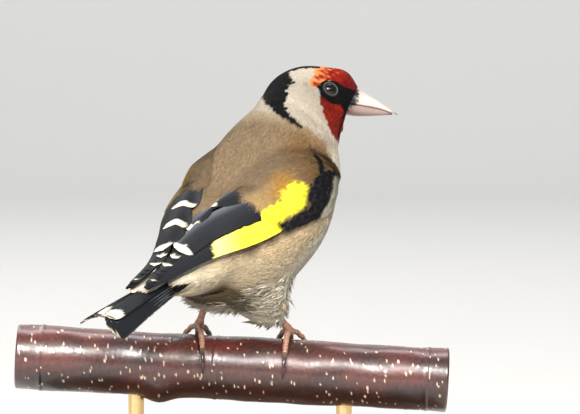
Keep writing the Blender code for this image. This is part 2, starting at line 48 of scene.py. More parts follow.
# The bird's frame and the driving sizes of its solids.
BODY_YAW = math.radians(57.0)
BODY_LIFT = 46.0
HEAD_TURN = math.radians(-57.0)
BILL_DROP = math.radians(-3.0)
HEAD_AT = np.array([32.1, 0.0, 57.6])
BLEND = 1.3                    # how softly the body's masses run into each other
RAY = 27.0                     # how far from the spine the body's outside is looked for
HEAD_RAY = 13.0
NECK_HIGH = 0.775              # share of the spine where the head begins


def unit(v):
    v = np.asarray(v, float)
    return v / np.maximum(np.linalg.norm(v, axis=-1, keepdims=True), 1e-12)


def turned(yaw, pitch):
    """The forward, left and up directions of a frame turned by yaw and tilted up by pitch."""
    forward = np.array([math.cos(yaw) * math.cos(pitch), math.sin(yaw) * math.cos(pitch), math.sin(pitch)])
    left = np.array([-math.sin(yaw), math.cos(yaw), 0.0])
    return np.array([forward, left, np.cross(forward, left)])


HEAD_FRAME = turned(HEAD_TURN, BILL_DROP)


def on_head(forward, left, up):
    return HEAD_AT + HEAD_FRAME[0] * forward + HEAD_FRAME[1] * left + HEAD_FRAME[2] * up


def along(pitch_degrees):
    return turned(0.0, math.radians(pitch_degrees))


def head_tilt(pitch_degrees):
    return turned(HEAD_TURN, math.radians(pitch_degrees))


def world_way(v):
    """A direction of the bird's frame as one of the solids' frame."""
    c, s = math.cos(BODY_YAW), math.sin(BODY_YAW)
    x = v[..., 0] * c - v[..., 1] * s
    y = v[..., 0] * s + v[..., 1] * c
    return np.stack([x, y, v[..., 2]], -1)


def to_world(p):
    return world_way(p) + np.array([0, 0, BODY_LIFT])


def ease(low, high, x):
    """From 0 at low to 1 at high along 3s^2 - 2s^3, for s the share between them."""
    s = np.clip((np.asarray(x, float) - low) / (high - low), 0.0, 1.0)
    return s * s * (3.0 - 2.0 * s)


def through(t, knots, values):
    """A cubic through the values at the knots, with the slopes of its neighbours at each."""
    t = np.asarray(t, float)
    values = np.asarray(values, float)
    slope = np.gradient(values, knots, axis=0)
    i = np.clip(np.searchsorted(knots, t, side="right") - 1, 0, len(knots) - 2)
    shape = t.shape + (1,) * (values.ndim - 1)
    width = (knots[i + 1] - knots[i]).reshape(shape)
    s = (t - knots[i]).reshape(shape) / width
    rise = (2 * s ** 3 - 3 * s ** 2 + 1) * values[i] + (-2 * s ** 3 + 3 * s ** 2) * values[i + 1]
    return rise + (s ** 3 - 2 * s ** 2 + s) * width * slope[i] + (s ** 3 - s ** 2) * width * slope[i + 1]


def ripple(p, size, seed):
    """Smooth unevenness between about -1 and 1: the mean of seven sine waves that run through
    space in seeded directions, each about size mm long."""
    rng = np.random.default_rng(seed)
    total = 0.0
    for _ in range(7):
        way = unit(rng.normal(size=3)) * 2 * math.pi / (size * rng.uniform(0.7, 1.5))
        total = total + np.sin(p @ way + rng.uniform(0, 2 * math.pi))
    return total / 2.8


# The body: a blend of round masses, as centre, frame and radii along, across, up.
MASSES = [
    ((-24.0, 0, 17.4), along(18), (12.0, 6.8, 4.0)),
    ((-14.0, 0, 20.4), along(26), (15.0, 10.6, 6.2)),
    ((-12.5, 0, 27.2), along(40), (16.0, 11.0, 6.0)),
    ((0.0, 0, 24.0), along(36), (21.2, 17.2, 15.0)),
    ((9.4, 0, 33.0), along(52), (22.0, 18.4, 17.4)),
    ((14.5, 0, 42.0), along(56), (17.5, 15.4, 13.4)),
    ((25.0, -0.8, 49.6), along(56), (12.0, 10.6, 10.4)),
    ((23.6, 0.6, 53.6), along(45), (8.8, 9.2, 8.2)),
    (tuple(on_head(-1.8, 0, 0.0)), HEAD_FRAME, (9.6, 8.2, 8.2)),
    (tuple(on_head(4.4, 0, 1.1)), HEAD_FRAME, (7.4, 6.2, 6.6)),
    (tuple(on_head(8.0, 0, 0.3)), head_tilt(-14), (5.4, 3.9, 4.3)),
    (tuple(on_head(3.0, 0, -4.6)), head_tilt(38), (7.6, 5.4, 4.4)),
    (tuple(on_head(-0.2, 3.0, -3.0)), HEAD_FRAME, (7.8, 6.0, 6.0)),
    (tuple(on_head(-0.2, -3.0, -3.0)), HEAD_FRAME, (7.8, 6.0, 6.0)),
    ((-2.4, -8.9, 11.0), along(-62), (8.4, 4.8, 4.8)),
    ((-7.6, 5.6, 14.2), along(-70), (6.0, 3.8, 3.8)),
]


def signed_distance(p):
    """Roughly the distance to the feathered body, below zero inside: the soft minimum, minus
    BLEND times the log of the summed exponentials, of each mass's distance k0 (k0 - 1) / k1."""
    total = 0.0
    for centre, axes, radii in MASSES:
        q = (p - np.array(centre)) @ axes.T
        r = np.array(radii)
        k0 = np.sqrt(((q / r) ** 2).sum(-1)) + 1e-9
        k1 = np.sqrt(((q / r ** 2) ** 2).sum(-1)) + 1e-9
        total = total + np.exp(-np.clip(k0 * (k0 - 1.0) / k1, -40.0, 40.0) / BLEND)
    return -BLEND * np.log(total)


def outward(p):
    step = 1e-3
    here = signed_distance(p)
    slope = [(signed_distance(p + np.eye(3)[i] * step) - here) / step for i in range(3)]
    return unit(np.stack(slope, -1))


# The spine: where it passes, the way it runs there, and the way to the back of the body.
SPINE = [
    ((-29.5, 0, 16.8), (math.cos(0.31), 0, math.sin(0.31)), (-0.3, 0, 1)),
    ((-22, 0, 19.0), (0.93, 0, 0.36), (-0.4, 0, 1)),
    ((-9.5, 0, 22.5), (0.86, 0, 0.5), (-0.55, 0, 1)),
    ((1, 0, 27.5), (0.78, 0, 0.62), (-0.7, 0, 0.8)),
    ((10, 0, 34.5), (0.68, 0, 0.74), (-0.75, 0, 0.7)),
    ((17.5, 0, 42), (0.67, 0, 0.74), (-0.75, 0, 0.66)),
]

# From the neck on it swings about a hinge line outside the throat until it runs to the bill.
TURN_AT = np.array([24.6, 0.0, 49.4])
TURN_FROM = unit([0.69, -0.04, 0.72])
TURN_RADIUS = 14.0
TURN_AXIS = unit(np.cross(TURN_FROM, HEAD_FRAME[0]))
TURN_OUT = np.cross(TURN_FROM, TURN_AXIS)
TURN_ANGLE = math.acos(float(TURN_FROM @ HEAD_FRAME[0]))
for share in (0.0, 0.2, 0.4, 0.6, 0.78):
    angle = TURN_ANGLE * share
    hinge = TURN_AT - TURN_OUT * TURN_RADIUS
    point = hinge + (TURN_OUT * math.cos(angle) + TURN_FROM * math.sin(angle)) * TURN_RADIUS
    onward = TURN_FROM * math.cos(angle) - TURN_OUT * math.sin(angle)
    backward = np.array([-0.7, 0.04, 0.7]) * (1 - share) + np.array([0.0, 0.0, 1.0]) * share
    SPINE.append((tuple(point), tuple(onward), tuple(backward)))
for place, tilt in (((9.1, 0, 0.25), -6), ((10.55, 0, 0.5), -24.2)):
    SPINE.append((tuple(on_head(*place)), tuple(head_tilt(tilt)[0]), (0.0, 0.0, 1.0)))
SPINE_AT = np.array([s[0] for s in SPINE], float)
SPINE_KNOTS = np.concatenate([[0.0], np.cumsum(np.linalg.norm(np.diff(SPINE_AT, axis=0), axis=1))])
SPINE_KNOTS = SPINE_KNOTS / SPINE_KNOTS[-1]


def spine(t):
    """Centres, directions, back directions and left directions at shares t of the spine."""
    centre = through(t, SPINE_KNOTS, SPINE_AT)
    ahead = unit(through(t, SPINE_KNOTS, [s[1] for s in SPINE]))
    back = through(t, SPINE_KNOTS, [s[2] for s in SPINE])
    back = unit(back - (back * ahead).sum(1, keepdims=True) * ahead)
    return centre, ahead, back, np.cross(back, ahead)


def ring(centre, back, left, columns, reach_limit):
    """Rings of the body: along a ray at angle v from the back towards the left, the first
    place outside the blend on the way in from the reach limit, found by halving."""
    v = np.linspace(0, 2 * math.pi, columns, endpoint=False)
    rays = np.sin(v)[None, :, None] * left[:, None] + np.cos(v)[None, :, None] * back[:, None]
    far = np.broadcast_to(np.asarray(reach_limit, float)[:, None], rays.shape[:2]).copy()
    start = far.copy()
    step = start / RING_STEPS
    for k in range(RING_STEPS):
        reach = start - step * k
        outside = signed_distance(centre[:, None] + rays * reach[..., None]) >= 0
        far = np.where(outside & (far >= reach + step * 0.5), reach, far)
    near = far - step
    for _ in range(HALVINGS):
        middle = (near + far) / 2
        within = signed_distance(centre[:, None] + rays * middle[..., None]) < 0
        near = np.where(within, middle, near)
        far = np.where(within, far, middle)
    return centre[:, None] + rays * far[..., None]


class Surface:
    """A feathered surface: a grid of places and outward directions, with the way its feathers
    point along the rows (lie) and whether its columns close on themselves."""

    def __init__(self, places, out, lie, closed):
        self.places, self.out, self.lie, self.closed = places, out, lie, closed
        rows, columns = places.shape[:2]
        self.rows, self.columns = rows, columns
        along_rows = np.gradient(places, axis=0)
        if closed:
            across = (np.roll(places, -1, 1) - np.roll(places, 1, 1)) / 2
        else:
            across = np.gradient(places, axis=1)
        self.row_mm = np.maximum(np.linalg.norm(along_rows, axis=-1), 0.03)
        self.column_mm = np.maximum(np.linalg.norm(across, axis=-1), 0.03)
        self.area = np.linalg.norm(np.cross(along_rows, across), axis=-1)

    def read(self, values, row, column):
        """A grid of values read between its points, as the mean of the four round each place."""
        row = np.clip(row, 0, self.rows - 1.001)
        i = row.astype(int)
        a = row - i
        if self.closed:
            column = np.mod(column, self.columns)
            j = np.minimum(column.astype(int), self.columns - 1)
            k = (j + 1) % self.columns
        else:
            column = np.clip(column, 0, self.columns - 1.001)
            j = column.astype(int)
            k = j + 1
        b = column - j
        if values.ndim > 2:
            a, b = a[..., None], b[..., None]
        low = values[i, j] * (1 - b) + values[i, k] * b
        high = values[i + 1, j] * (1 - b) + values[i + 1, k] * b
        return low * (1 - a) + high * a

    def at(self, row, column, height):
        out = unit(self.read(self.out, row, column))
        return self.read(self.places, row, column) + out * np.asarray(height)[..., None], out


RING_STEPS = 60
HALVINGS = 9
BODY_COLUMNS = 180
BODY_SHARES = np.concatenate([np.linspace(0.0, 0.8, 190, endpoint=False), np.linspace(0.8, 1.0, 110)])
BODY_ANGLES = np.linspace(0, 2 * math.pi, BODY_COLUMNS, endpoint=False)

# The tail's direction, end, length, half widths at its root and end, and roll.
TAIL_PITCH = math.radians(16.2)
TAIL_TIP = np.array([-63.2, -0.3, 7.6])
TAIL_LENGTH = 34.2
TAIL_HALF = (4.7, 5.9)
TAIL_ROLL = math.radians(16.0)
TAIL_BACK = np.array([-math.cos(TAIL_PITCH), 0, -math.sin(TAIL_PITCH)])
TAIL_UP = np.array([-math.sin(TAIL_PITCH), 0, math.cos(TAIL_PITCH)])
TAIL_ROWS = 30                 # rows of the body's surface that go on over the tail

BODY_TAIL = 14.0               # how far they go

# Where the feathers stand a little fuller or flatter than the blend: centre, radius, mm outward.
FULLNESS = [
    (on_head(8.6, 0, 6.4), 4.4, 1.35), (on_head(0.0, 0, 8.4), 6.0, 0.75),
    (np.array([-11.0, -2.0, 7.5]), 7.0, -1.4), (np.array([26.0, -13.0, 41.0]), 6.5, 1.5),
    (np.array([33.0, -8.3, 47.7]), 5.0, -1.2), (np.array([26.0, 13.0, 43.0]), 8.0, 0.9),
    (np.array([12.0, 9.0, 56.0]), 9.0, -1.1), (np.array([6.0, 12.0, 46.0]), 8.0, -1.0),
]


def fullness(places):
    """The sum of h exp(-(d / r)^2) over the fuller places, d mm from each."""
    return sum(h * np.exp(-(np.linalg.norm(places - c, axis=-1) / r) ** 2) for c, r, h in FULLNESS)


def grid_normals(places):
    """Outward directions of a closed grid, from its neighbours along and across."""
    along_rows = np.gradient(places, axis=0)
    across = np.roll(places, -1, 1) - np.roll(places, 1, 1)
    n = unit(np.cross(along_rows, across))
    return n * np.sign((n * outward(places)).sum(-1).mean())


def body_surface():
    """The outside of the coat from the root of the tail to the bill, evened out by a few
    rounds of averaging, each brought back to the blend's own surface, then moved outward by
    its fullness and forward at the chin by a bell of its height and breadth."""
    centre, _ahead, back, left = spine(BODY_SHARES)
    limit = np.where(BODY_SHARES < NECK_HIGH, RAY, HEAD_RAY)
    places = ring(centre, back, left, BODY_COLUMNS, limit)
    for _ in range(10):
        inner = (places[:-2] + places[2:]) / 2
        sides = (np.roll(places, 1, 1) + np.roll(places, -1, 1)) / 2
        places[1:-1] = places[1:-1] * 0.4 + inner * 0.4 + sides[1:-1] * 0.2
        places[1:-1] -= outward(places[1:-1]) * signed_distance(places[1:-1])[..., None]
    full = fullness(places) * (0.45 + 0.55 * ease(1.0, 0.972, BODY_SHARES))[:, None]
    places = places + outward(places) * full[..., None]
    q = (places - HEAD_AT) @ HEAD_FRAME.T
    chin = 4.0 * np.exp(-((q[..., 2] + 3.8) / 1.5) ** 2 - (q[..., 1] / 1.9) ** 2)
    chin = chin * ease(4.5, 8.5, q[..., 0])
    places = places + HEAD_FRAME[0] * chin[..., None]
    share = np.linspace(1, 0, TAIL_ROWS, endpoint=False)[:, None, None]
    offset = places[0] - places[0].mean(0)
    upward = (offset @ TAIL_UP)[:, None] * TAIL_UP
    beyond = places[0].mean(0) + TAIL_BACK * BODY_TAIL * share + offset * (1 - 0.1 * share)
    beyond = beyond - upward * 0.62 * share ** 0.7
    places = np.concatenate([beyond, places])
    return Surface(places, grid_normals(places), -1, True)


# Wings: the upper edge over the back and the lower edge along the flank, from bend to tip.
WING_UPPER = [
    (20.5, 14.4, 39.0), (12, 13.2, 42.0), (2, 11.6, 42.4), (-8, 8.4, 38.6), (-17.5, 4.9, 34.0),
    (-26, 2.5, 27.8), (-34, 1.4, 20.8), (-45.4, 1.7, 15.2),
]
WING_LOWER = [
    (17.0, 17.2, 35.0), (11.0, 18.0, 32.0), (3.5, 18.4, 30.0), (-7.0, 17.4, 27.6),
    (-17, 13.8, 24.3), (-25.6, 9.2, 21.6), (-34.2, 6.0, 18.6), (-46.2, 3.6, 14.6),
]
WING_SWELL = 0.17
WING_THICK = 1.25
WING_ROWS = 150
WING_COLUMNS = 85
WING_SHARES = np.linspace(0, 1, WING_ROWS)
WING_ACROSS = np.linspace(-0.7, 1.2, WING_COLUMNS)


def wing_surface(side):
    """The outside of a folded wing: straight across from its upper to its lower edge, swelled
    by 4c(1 - c) of its breadth and pushed clear of the body. side is 1 left, -1 right."""
    knots = np.linspace(0, 1, len(WING_UPPER))
    upper = through(WING_SHARES, knots, WING_UPPER)
    lower = through(WING_SHARES, knots, WING_LOWER)
    c = WING_ACROSS
    p = upper[:, None] * (1 - c)[None, :, None] + lower[:, None] * c[None, :, None]
    breadth = np.linalg.norm(lower - upper, axis=1)
    swell = (4 * c * (1 - c) * np.where(c < 0, 0.3, 1.0))[None, :] * breadth[:, None] * WING_SWELL
    p = p + swell[..., None] * np.array([0.05, 0.62, 0.78])
    across = np.clip(0.48 + 3.0 * np.minimum(c, 1 - c), 0.1, 1.0)[None, :]
    edge = np.maximum(across * np.minimum(1.0, 0.45 + 1.8 * WING_SHARES)[:, None], 0.3)
    hug = ease(0.02, -0.35, c)[None, :] * ease(0.80, 0.62, WING_SHARES)[:, None]
    for _ in range(8):
        target = (0.45 + (WING_THICK + 0.05) * edge) * (1 - hug) - 0.1 * hug
        lift = target - signed_distance(p)
        p = p + outward(p) * np.where(lift > 0, np.minimum(lift, 5.0), lift * hug)[..., None]
    p[..., 1] = p[..., 1] * side
    p = p + outward(p) * (fullness(p) * ease(1.0, 0.3, c)[None, :])[..., None]
    out = unit(np.cross(np.gradient(p, axis=0), np.gradient(p, axis=1)))
    if out[..., 1].mean() * side < 0:
        out = -out
    return Surface(p, out, 1, False)


def grid_faces(rows, columns, closed=False, looped=False):
    """Four-sided faces between the points of a grid, its last column joined to its first if
    closed, its last row to its first if looped."""
    i, j = np.meshgrid(np.arange(rows if looped else rows - 1),
                       np.arange(columns if closed else columns - 1), indexing="ij")
    k = (j + 1) % columns
    here = i * columns
    after = (i + 1) % rows * columns
    return np.stack([here + j, here + k, after + k, after + j], -1).reshape(-1, 4)


def fan(ring_points, hub, flip):
    """Three-sided faces from a closed ring of point numbers to one hub point."""
    ring_points = np.asarray(ring_points)
    after = np.roll(ring_points, -1)
    first, second = (after, ring_points) if flip else (ring_points, after)
    return np.stack([first, second, np.full(len(ring_points), hub)], -1)


def volume_sign(verts, faces):
    v = verts - verts.mean(0)
    total = 0.0
    for block in faces:
        for i in range(1, block.shape[1] - 1):
            total += (v[block[:, 0]] * np.cross(v[block[:, i]], v[block[:, i + 1]])).sum()
    return 1 if total > 0 else -1


def facing_out(verts, faces):
    return faces if volume_sign(verts, faces) > 0 else [block[:, ::-1] for block in faces]


def closed_tube(rings):
    """Points and faces of a tube of rings whose two ends are closed by a fan to their middle."""
    rows, columns = rings.shape[:2]
    verts = np.concatenate([rings.reshape(-1, 3), rings[0].mean(0)[None], rings[-1].mean(0)[None]])
    count = rows * columns
    faces = [grid_faces(rows, columns, True), fan(np.arange(columns), count, True),
             fan(np.arange(count - columns, count), count + 1, False)]
    return verts, facing_out(verts, faces)


def closed_slab(top, bottom):
    """Points and faces of a thin piece between two grids, walled round their shared outline."""
    rows, columns = top.shape[:2]
    verts = np.concatenate([top.reshape(-1, 3), bottom.reshape(-1, 3)])
    low = rows * columns
    over = grid_faces(rows, columns)
    rim = np.concatenate([np.arange(rows) * columns, (rows - 1) * columns + np.arange(1, columns),
                          np.arange(rows - 2, -1, -1) * columns + columns - 1,
                          np.arange(columns - 2, 0, -1)])
    after = np.roll(rim, -1)
    wall = np.stack([rim, after, low + after, low + rim], -1)
    return verts, facing_out(verts, [over, (over + low)[:, ::-1], wall])


def join(shapes):
    """Several (points, faces) as one, with the point numbers of each moved past the last."""
    verts, faces, start = [], [], 0
    for points, blocks in shapes:
        verts.append(points)
        faces += [block + start for block in blocks]
        start += len(points)
    return np.concatenate(verts), faces


def piece(name, verts, faces, finish, stands_for=(), colours=None, maps=None, normals=None):
    """A mesh object at the origin from points in world mm, with its colours kept as the
    attribute "markings" and its maps as UV maps by name."""
    mesh = bpy.data.meshes.new(name)
    corners = np.concatenate([block.reshape(-1) for block in faces]).astype(np.int32)
    sizes = np.concatenate([np.full(len(block), block.shape[1]) for block in faces]).astype(np.int32)
    mesh.vertices.add(len(verts))
    mesh.vertices.foreach_set("co", (np.asarray(verts) * MM).astype(np.float32).ravel())
    mesh.loops.add(len(corners))
    mesh.loops.foreach_set("vertex_index", corners)
    mesh.polygons.add(len(sizes))
    mesh.polygons.foreach_set("loop_start", (np.cumsum(sizes) - sizes).astype(np.int32))
    mesh.polygons.foreach_set("use_smooth", np.ones(len(sizes), bool))
    mesh.update(calc_edges=True)
    for map_name, uv in (maps or {}).items():
        layer = mesh.uv_layers.new(name=map_name)
        layer.data.foreach_set("uv", np.asarray(uv)[corners].astype(np.float32).ravel())
    if colours is not None:
        layer = mesh.color_attributes.new("markings", "FLOAT_COLOR", "POINT")
        rgba = np.concatenate([np.clip(colours, 0, 1), np.ones((len(verts), 1))], 1)
        layer.data.foreach_set("color", rgba.astype(np.float32).ravel())
    mesh.validate()
    if normals is not None:
        mesh.normals_split_custom_set_from_vertices(np.asarray(normals, np.float32))
    mesh.materials.append(finish)
    made = bpy.data.objects.new(name, mesh)
    bpy.context.scene.collection.objects.link(made)
    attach(made, "root")
    if stands_for:
        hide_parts(*stands_for)


# Colours of the plumage, as light reflected in red, green and blue.
WHITE = np.array([0.70, 0.655, 0.535])
CREAM = np.array([0.63, 0.54, 0.39])
BROWN = np.array([0.190, 0.135, 0.081])
DARK_BROWN = np.array([0.180, 0.107, 0.048])
TAN = np.array([0.485, 0.39, 0.262])
BUFF = np.array([0.37, 0.19, 0.028])
BLACK = np.array([0.004, 0.004, 0.005])
SLATE = np.array([0.022, 0.024, 0.029])
# A grey painted sheen, laid on the black feathers where they would catch the light.
PAINTED_SHEEN_GREY = np.array([0.115, 0.122, 0.138])
RED = np.array([0.25, 0.0145, 0.0065])
DEEP_RED = np.array([0.12, 0.006, 0.004])
ORANGE = np.array([0.92, 0.27, 0.09])
YELLOW = np.array([0.94, 0.84, 0.05])

PALE_YELLOW = np.array([0.9, 0.85, 0.35])
EDGE_BROWN = np.array([0.42, 0.28, 0.01])
# A painted shade for the belly behind the legs.
PAINTED_BELLY_SHADE = np.array([0.10, 0.07, 0.036])
BIB_WHITE = WHITE * np.array([0.62, 0.58, 0.58])
VANE_WHITE = WHITE * 0.82
COVERT_TAN = TAN * np.array([1.0, 0.88, 0.66])

# Outlines of the head's markings in the plane of the profile: mm forward and up from its middle.
COLLAR = [
    (-5.6, 7.9), (-5.3, 6.6), (-4.1, 5.1), (-5.3, 4.1), (-6.0, 1.4), (-6.2, -0.4), (-5.4, -2.2),
    (-3.7, -3.6), (-1.4, -5.5), (-2.2, -5.8), (-4.8, -4.5), (-7.5, -3.1), (-9.8, -1.6),
    (-12.0, 1.1), (-13.0, 4.0), (-11.0, 9.5), (-6.5, 10.5),
]
RED_BROW = [
    (1.1, 11.0), (1.0, 8.8), (1.2, 7.4), (0.4, 6.2), (-0.1, 5.4), (0.5, 4.5), (2.0, 4.5),
    (2.6, 4.9), (4.2, 5.9), (6.1, 5.7), (7.7, 4.9), (9.8, 3.9), (11.5, 3.5), (14.0, 3.7),
    (14.0, 11.0),
]
LORES = [
    (1.9, 4.4), (2.2, 4.2), (2.7, 3.0), (3.2, 2.1), (4.0, 1.5), (5.6, 0.6), (7.9, 0.2),
    (8.8, -0.6), (9.2, -1.8), (9.3, -2.7), (11.0, -1.4), (13.5, 3.6), (11.5, 3.5), (9.8, 3.9),
    (7.7, 4.9), (6.1, 5.7), (4.2, 5.9), (2.6, 4.9),
]
CHIN = [(8.9, -2.2), (8.5, -3.3), (9.8, -4.3), (11.4, -4.8), (15.0, -4.9), (15.0, -1.9)]
RED_THROAT = [
    (2.6, 1.8), (3.3, -0.2), (4.3, -3.1), (5.2, -5.1), (6.1, -7.0), (7.3, -8.6), (14.0, -8.2),
    (14.0, 0.0), (8.8, 0.2), (5.4, 1.2), (3.4, 2.0),
]
BIB_LINE = [
    (-30.0, -2.2), (-12.0, -2.6), (-7.0, -3.6), (-4.2, -4.4), (-1.5, -5.6), (1.4, -7.3),
    (3.8, -8.8), (5.6, -10.0), (7.2, -11.6), (9.0, -14.5), (30.0, -15.0), (30.0, 30.0),
    (-30.0, 30.0),
]


def from_outline(x, y, outline):
    """Distance in mm from an outline, below zero within it: the nearest of its straight edges,
    with the sign turned at every edge that a level line from the place crosses."""
    a = np.array(outline, float)
    b = np.roll(a, -1, 0)
    p = np.stack([x, y], -1)[..., None, :]
    edge = b - a
    share = np.clip(((p - a) * edge).sum(-1) / (edge ** 2).sum(-1), 0, 1)
    gap = np.sqrt(((p - a - share[..., None] * edge) ** 2).sum(-1)).min(-1)
    above = (a[:, 1] > p[..., 1]) != (b[:, 1] > p[..., 1])
    with np.errstate(divide="ignore", invalid="ignore"):
        cross = a[:, 0] + (p[..., 1] - a[:, 1]) * edge[:, 0] / edge[:, 1]
    crossings = (above & (p[..., 0] < cross)).sum(-1)
    return np.where(crossings % 2 == 1, -gap, gap)


def mix(under, over, share):
    """Two colours mixed at each place by the share of the second."""
    return under * (1 - share[..., None]) + over * share[..., None]


def from_back(angle):
    """Degrees from the middle of the back, 0 to 180 on either side."""
    return np.degrees(np.abs(np.mod(angle + math.pi, 2 * math.pi) - math.pi))


def back_brown(p):
    """The brown of the back: darker on the sides of the breast, by the place in the bird."""
    dark = ease(8.0, 13.0, np.abs(p[..., 1])) * ease(-2.0, 6.0, p[..., 0])
    return mix(BROWN, DARK_BROWN, dark)


# Where the black of the tail begins, as a share of the spine at degrees from the back.
TAIL_BLACK_AT = (60, 70, 88, 100, 112, 128)
TAIL_BLACK_FROM = (-0.112, -0.098, -0.047, -0.004, -0.05, -0.09)
# Painted light: how much the upper flank under the wing is lightened, in red, green and blue.
PAINTED_FLANK_LIGHT = np.array([0.18, 0.12, 0.02])


def trunk_markings(p, a, share, soft, fine):
    """Brown above and tan on the flank by the degrees a from the back, the upper flank under the
    wing lightened as painted light, white below, with cream and white towards the tail, a painted
    shade behind the legs and the black of the tail."""
    flank = ease(78, 94, a + soft * 4)
    # Painted light on the upper flank, under the wing.
    painted_light = flank * ease(112, 92, a) * ease(0.2, 0.3, share)
    colour = back_brown(p)
    colour = mix(colour, CREAM, 0.75 * ease(0.24, 0.08, share))
    colour = mix(colour, WHITE, ease(0.075, 0.03, share))
    colour = mix(colour, TAN, flank)
    colour = colour * (1 + PAINTED_FLANK_LIGHT * painted_light[..., None])
    pale = ease(104, 124, a + soft * 5 + fine * 3) * ease(0.22, 0.34, share)
    colour = mix(colour, WHITE, 0.8 * pale)
    colour = mix(colour, WHITE, 0.85 * ease(0.57, 0.66, share) * flank)
    colour = mix(colour, WHITE, 0.9 * ease(134, 158, a + soft * 7))
    colour = mix(colour, CREAM, 0.7 * ease(0.17, 0.08, share) * flank)
    # Painted shade: the belly behind the legs is darkened.
    shaded = ease(116, 142, a + soft * 6) * ease(0.06, 0.13, share)
    shaded = shaded * ease(0.235, 0.195, share + 0.01 * soft)
    colour = mix(colour, PAINTED_BELLY_SHADE, 0.92 * shaded)
    tail = share - np.interp(a, TAIL_BLACK_AT, TAIL_BLACK_FROM) + 0.002 * fine
    return mix(colour, BLACK, ease(0.004, -0.004, tail) * ease(57, 64, a) * ease(138, 128, a))


# A black line of feathers runs up the side of the breast from the bend of the wing.
STREAK_LOW = np.array([15.0, 17.2, 39.3])
STREAK_WAY = np.array([10.7, 14.3, 47.0]) - STREAK_LOW


def from_streak(p):
    """Distance from the line, and 1.1 mm more at its upper end, where it is thinner."""
    q = np.stack([p[..., 0], np.abs(p[..., 1]), p[..., 2]], -1) - STREAK_LOW
    up_it = np.clip((q @ STREAK_WAY) / (STREAK_WAY ** 2).sum(), 0, 1)
    return np.linalg.norm(q - up_it[..., None] * STREAK_WAY, axis=-1) + 1.1 * up_it


def body_markings(p, angle, share):
    """The plumage's colour at places p of the body: the trunk's, then the head's outlines laid
    over each other in the plane of its profile, f forward, l left and u up of its middle."""
    a = from_back(angle)
    left_side = np.mod(angle + math.pi, 2 * math.pi) > math.pi
    fine = ripple(p, 1.6, 4)
    jag = 0.22 * fine + 0.12 * ripple(p, 0.7, 5)
    colour = trunk_markings(p, a, share, ripple(p, 5.0, 3), fine)
    q = (p - HEAD_AT) @ HEAD_FRAME.T
    f, l, u = q[..., 0], q[..., 1], q[..., 2]
    nape = ease(0.66, 0.76, share) * (1 - ease(84, 104, a))
    colour = mix(colour, CREAM, 0.42 * nape + 0.3 * nape * ease(30, 50, a) * left_side)
    bib = from_outline(f, u - 0.04 * np.abs(l), BIB_LINE) + jag * 2.2
    colour = mix(colour, BIB_WHITE, ease(0.9, -0.9, bib) * ease(0.645, 0.69, share))
    colour = mix(colour, BLACK, ease(1.9, 1.1, from_streak(p) + jag * 2.2) * (share < 0.72))
    crown = np.maximum(np.abs(l) - 2.7, np.maximum(-7.0 - f, f - 3.2)) + (u < 3) * 9.0
    collar = np.minimum(from_outline(f, u, COLLAR), crown)
    collar = collar + jag * (0.5 + 1.1 * ease(-4.0, -1.5, u))
    colour = mix(colour, BLACK, ease(0.25, -0.25, collar) * ease(0.66, 0.70, share))
    face = ease(0.78, 0.80, share)
    colour = mix(colour, BLACK, ease(2.4, 2.9, f) * ease(-0.5, 0.1, u) * ease(5.6, 5.0, u) * face)
    red = mix(RED, ORANGE, 0.95 * ease(4.4, -0.4, f - 0.5 * (u - 5.5) + fine * 1.8))
    deep = 0.12 + 0.25 * fine + 0.8 * ease(5.0, 9.5, f + 0.6 * (5.5 - u))
    red = mix(red, DEEP_RED, np.clip(deep, 0, 1))
    brow = from_outline(f, u, RED_BROW) + jag
    brow = np.where((np.abs(l) < 2.2) & (f < 2.4), np.maximum(brow, 2.6 - f), brow)
    colour = mix(colour, red, ease(0.4, 0.0, brow) * face)
    deep = 0.35 + 0.5 * fine + 0.5 * ease(7.5, 10.5, f)
    throat = from_outline(f, u, RED_THROAT) + jag
    colour = mix(colour, mix(RED, DEEP_RED, np.clip(deep, 0, 1)), ease(0.4, 0.0, throat) * face)
    dark = np.minimum(from_outline(f, u, LORES), from_outline(f, u, CHIN)) + jag * 0.7
    return mix(colour, BLACK, ease(0.45, 0.1, dark) * face)


# Outlines of the wing's soft parts, as shares of its length from the bend and of its breadth.
WING_SIZE = np.array([73.0, 14.0])
WING_YELLOW = [
    (0.317, 0.38), (0.270, 0.50), (0.262, 0.60), (0.285, 0.72), (0.312, 0.83), (0.43, 0.90),
    (0.60, 0.90), (0.60, 0.68), (0.49, 0.67), (0.454, 0.61), (0.383, 0.54), (0.338, 0.41),
]
WING_BLACK = [
    (-0.1, 0.12), (0.08, 0.12), (0.15, 0.28), (0.225, 0.44), (0.256, 0.55), (0.285, 0.68),
    (0.275, 0.80), (0.315, 0.86), (0.43, 0.90), (0.41, 1.3), (-0.1, 1.3),
]
# The white front edge: how far from the bend it reaches, at shares of the breadth.
WING_FRONT_AT = (0.2, 0.5, 0.63, 0.86, 0.95, 1.1)
WING_FRONT = (0.06, 0.105, 0.105, 0.145, 0.19, 0.22)


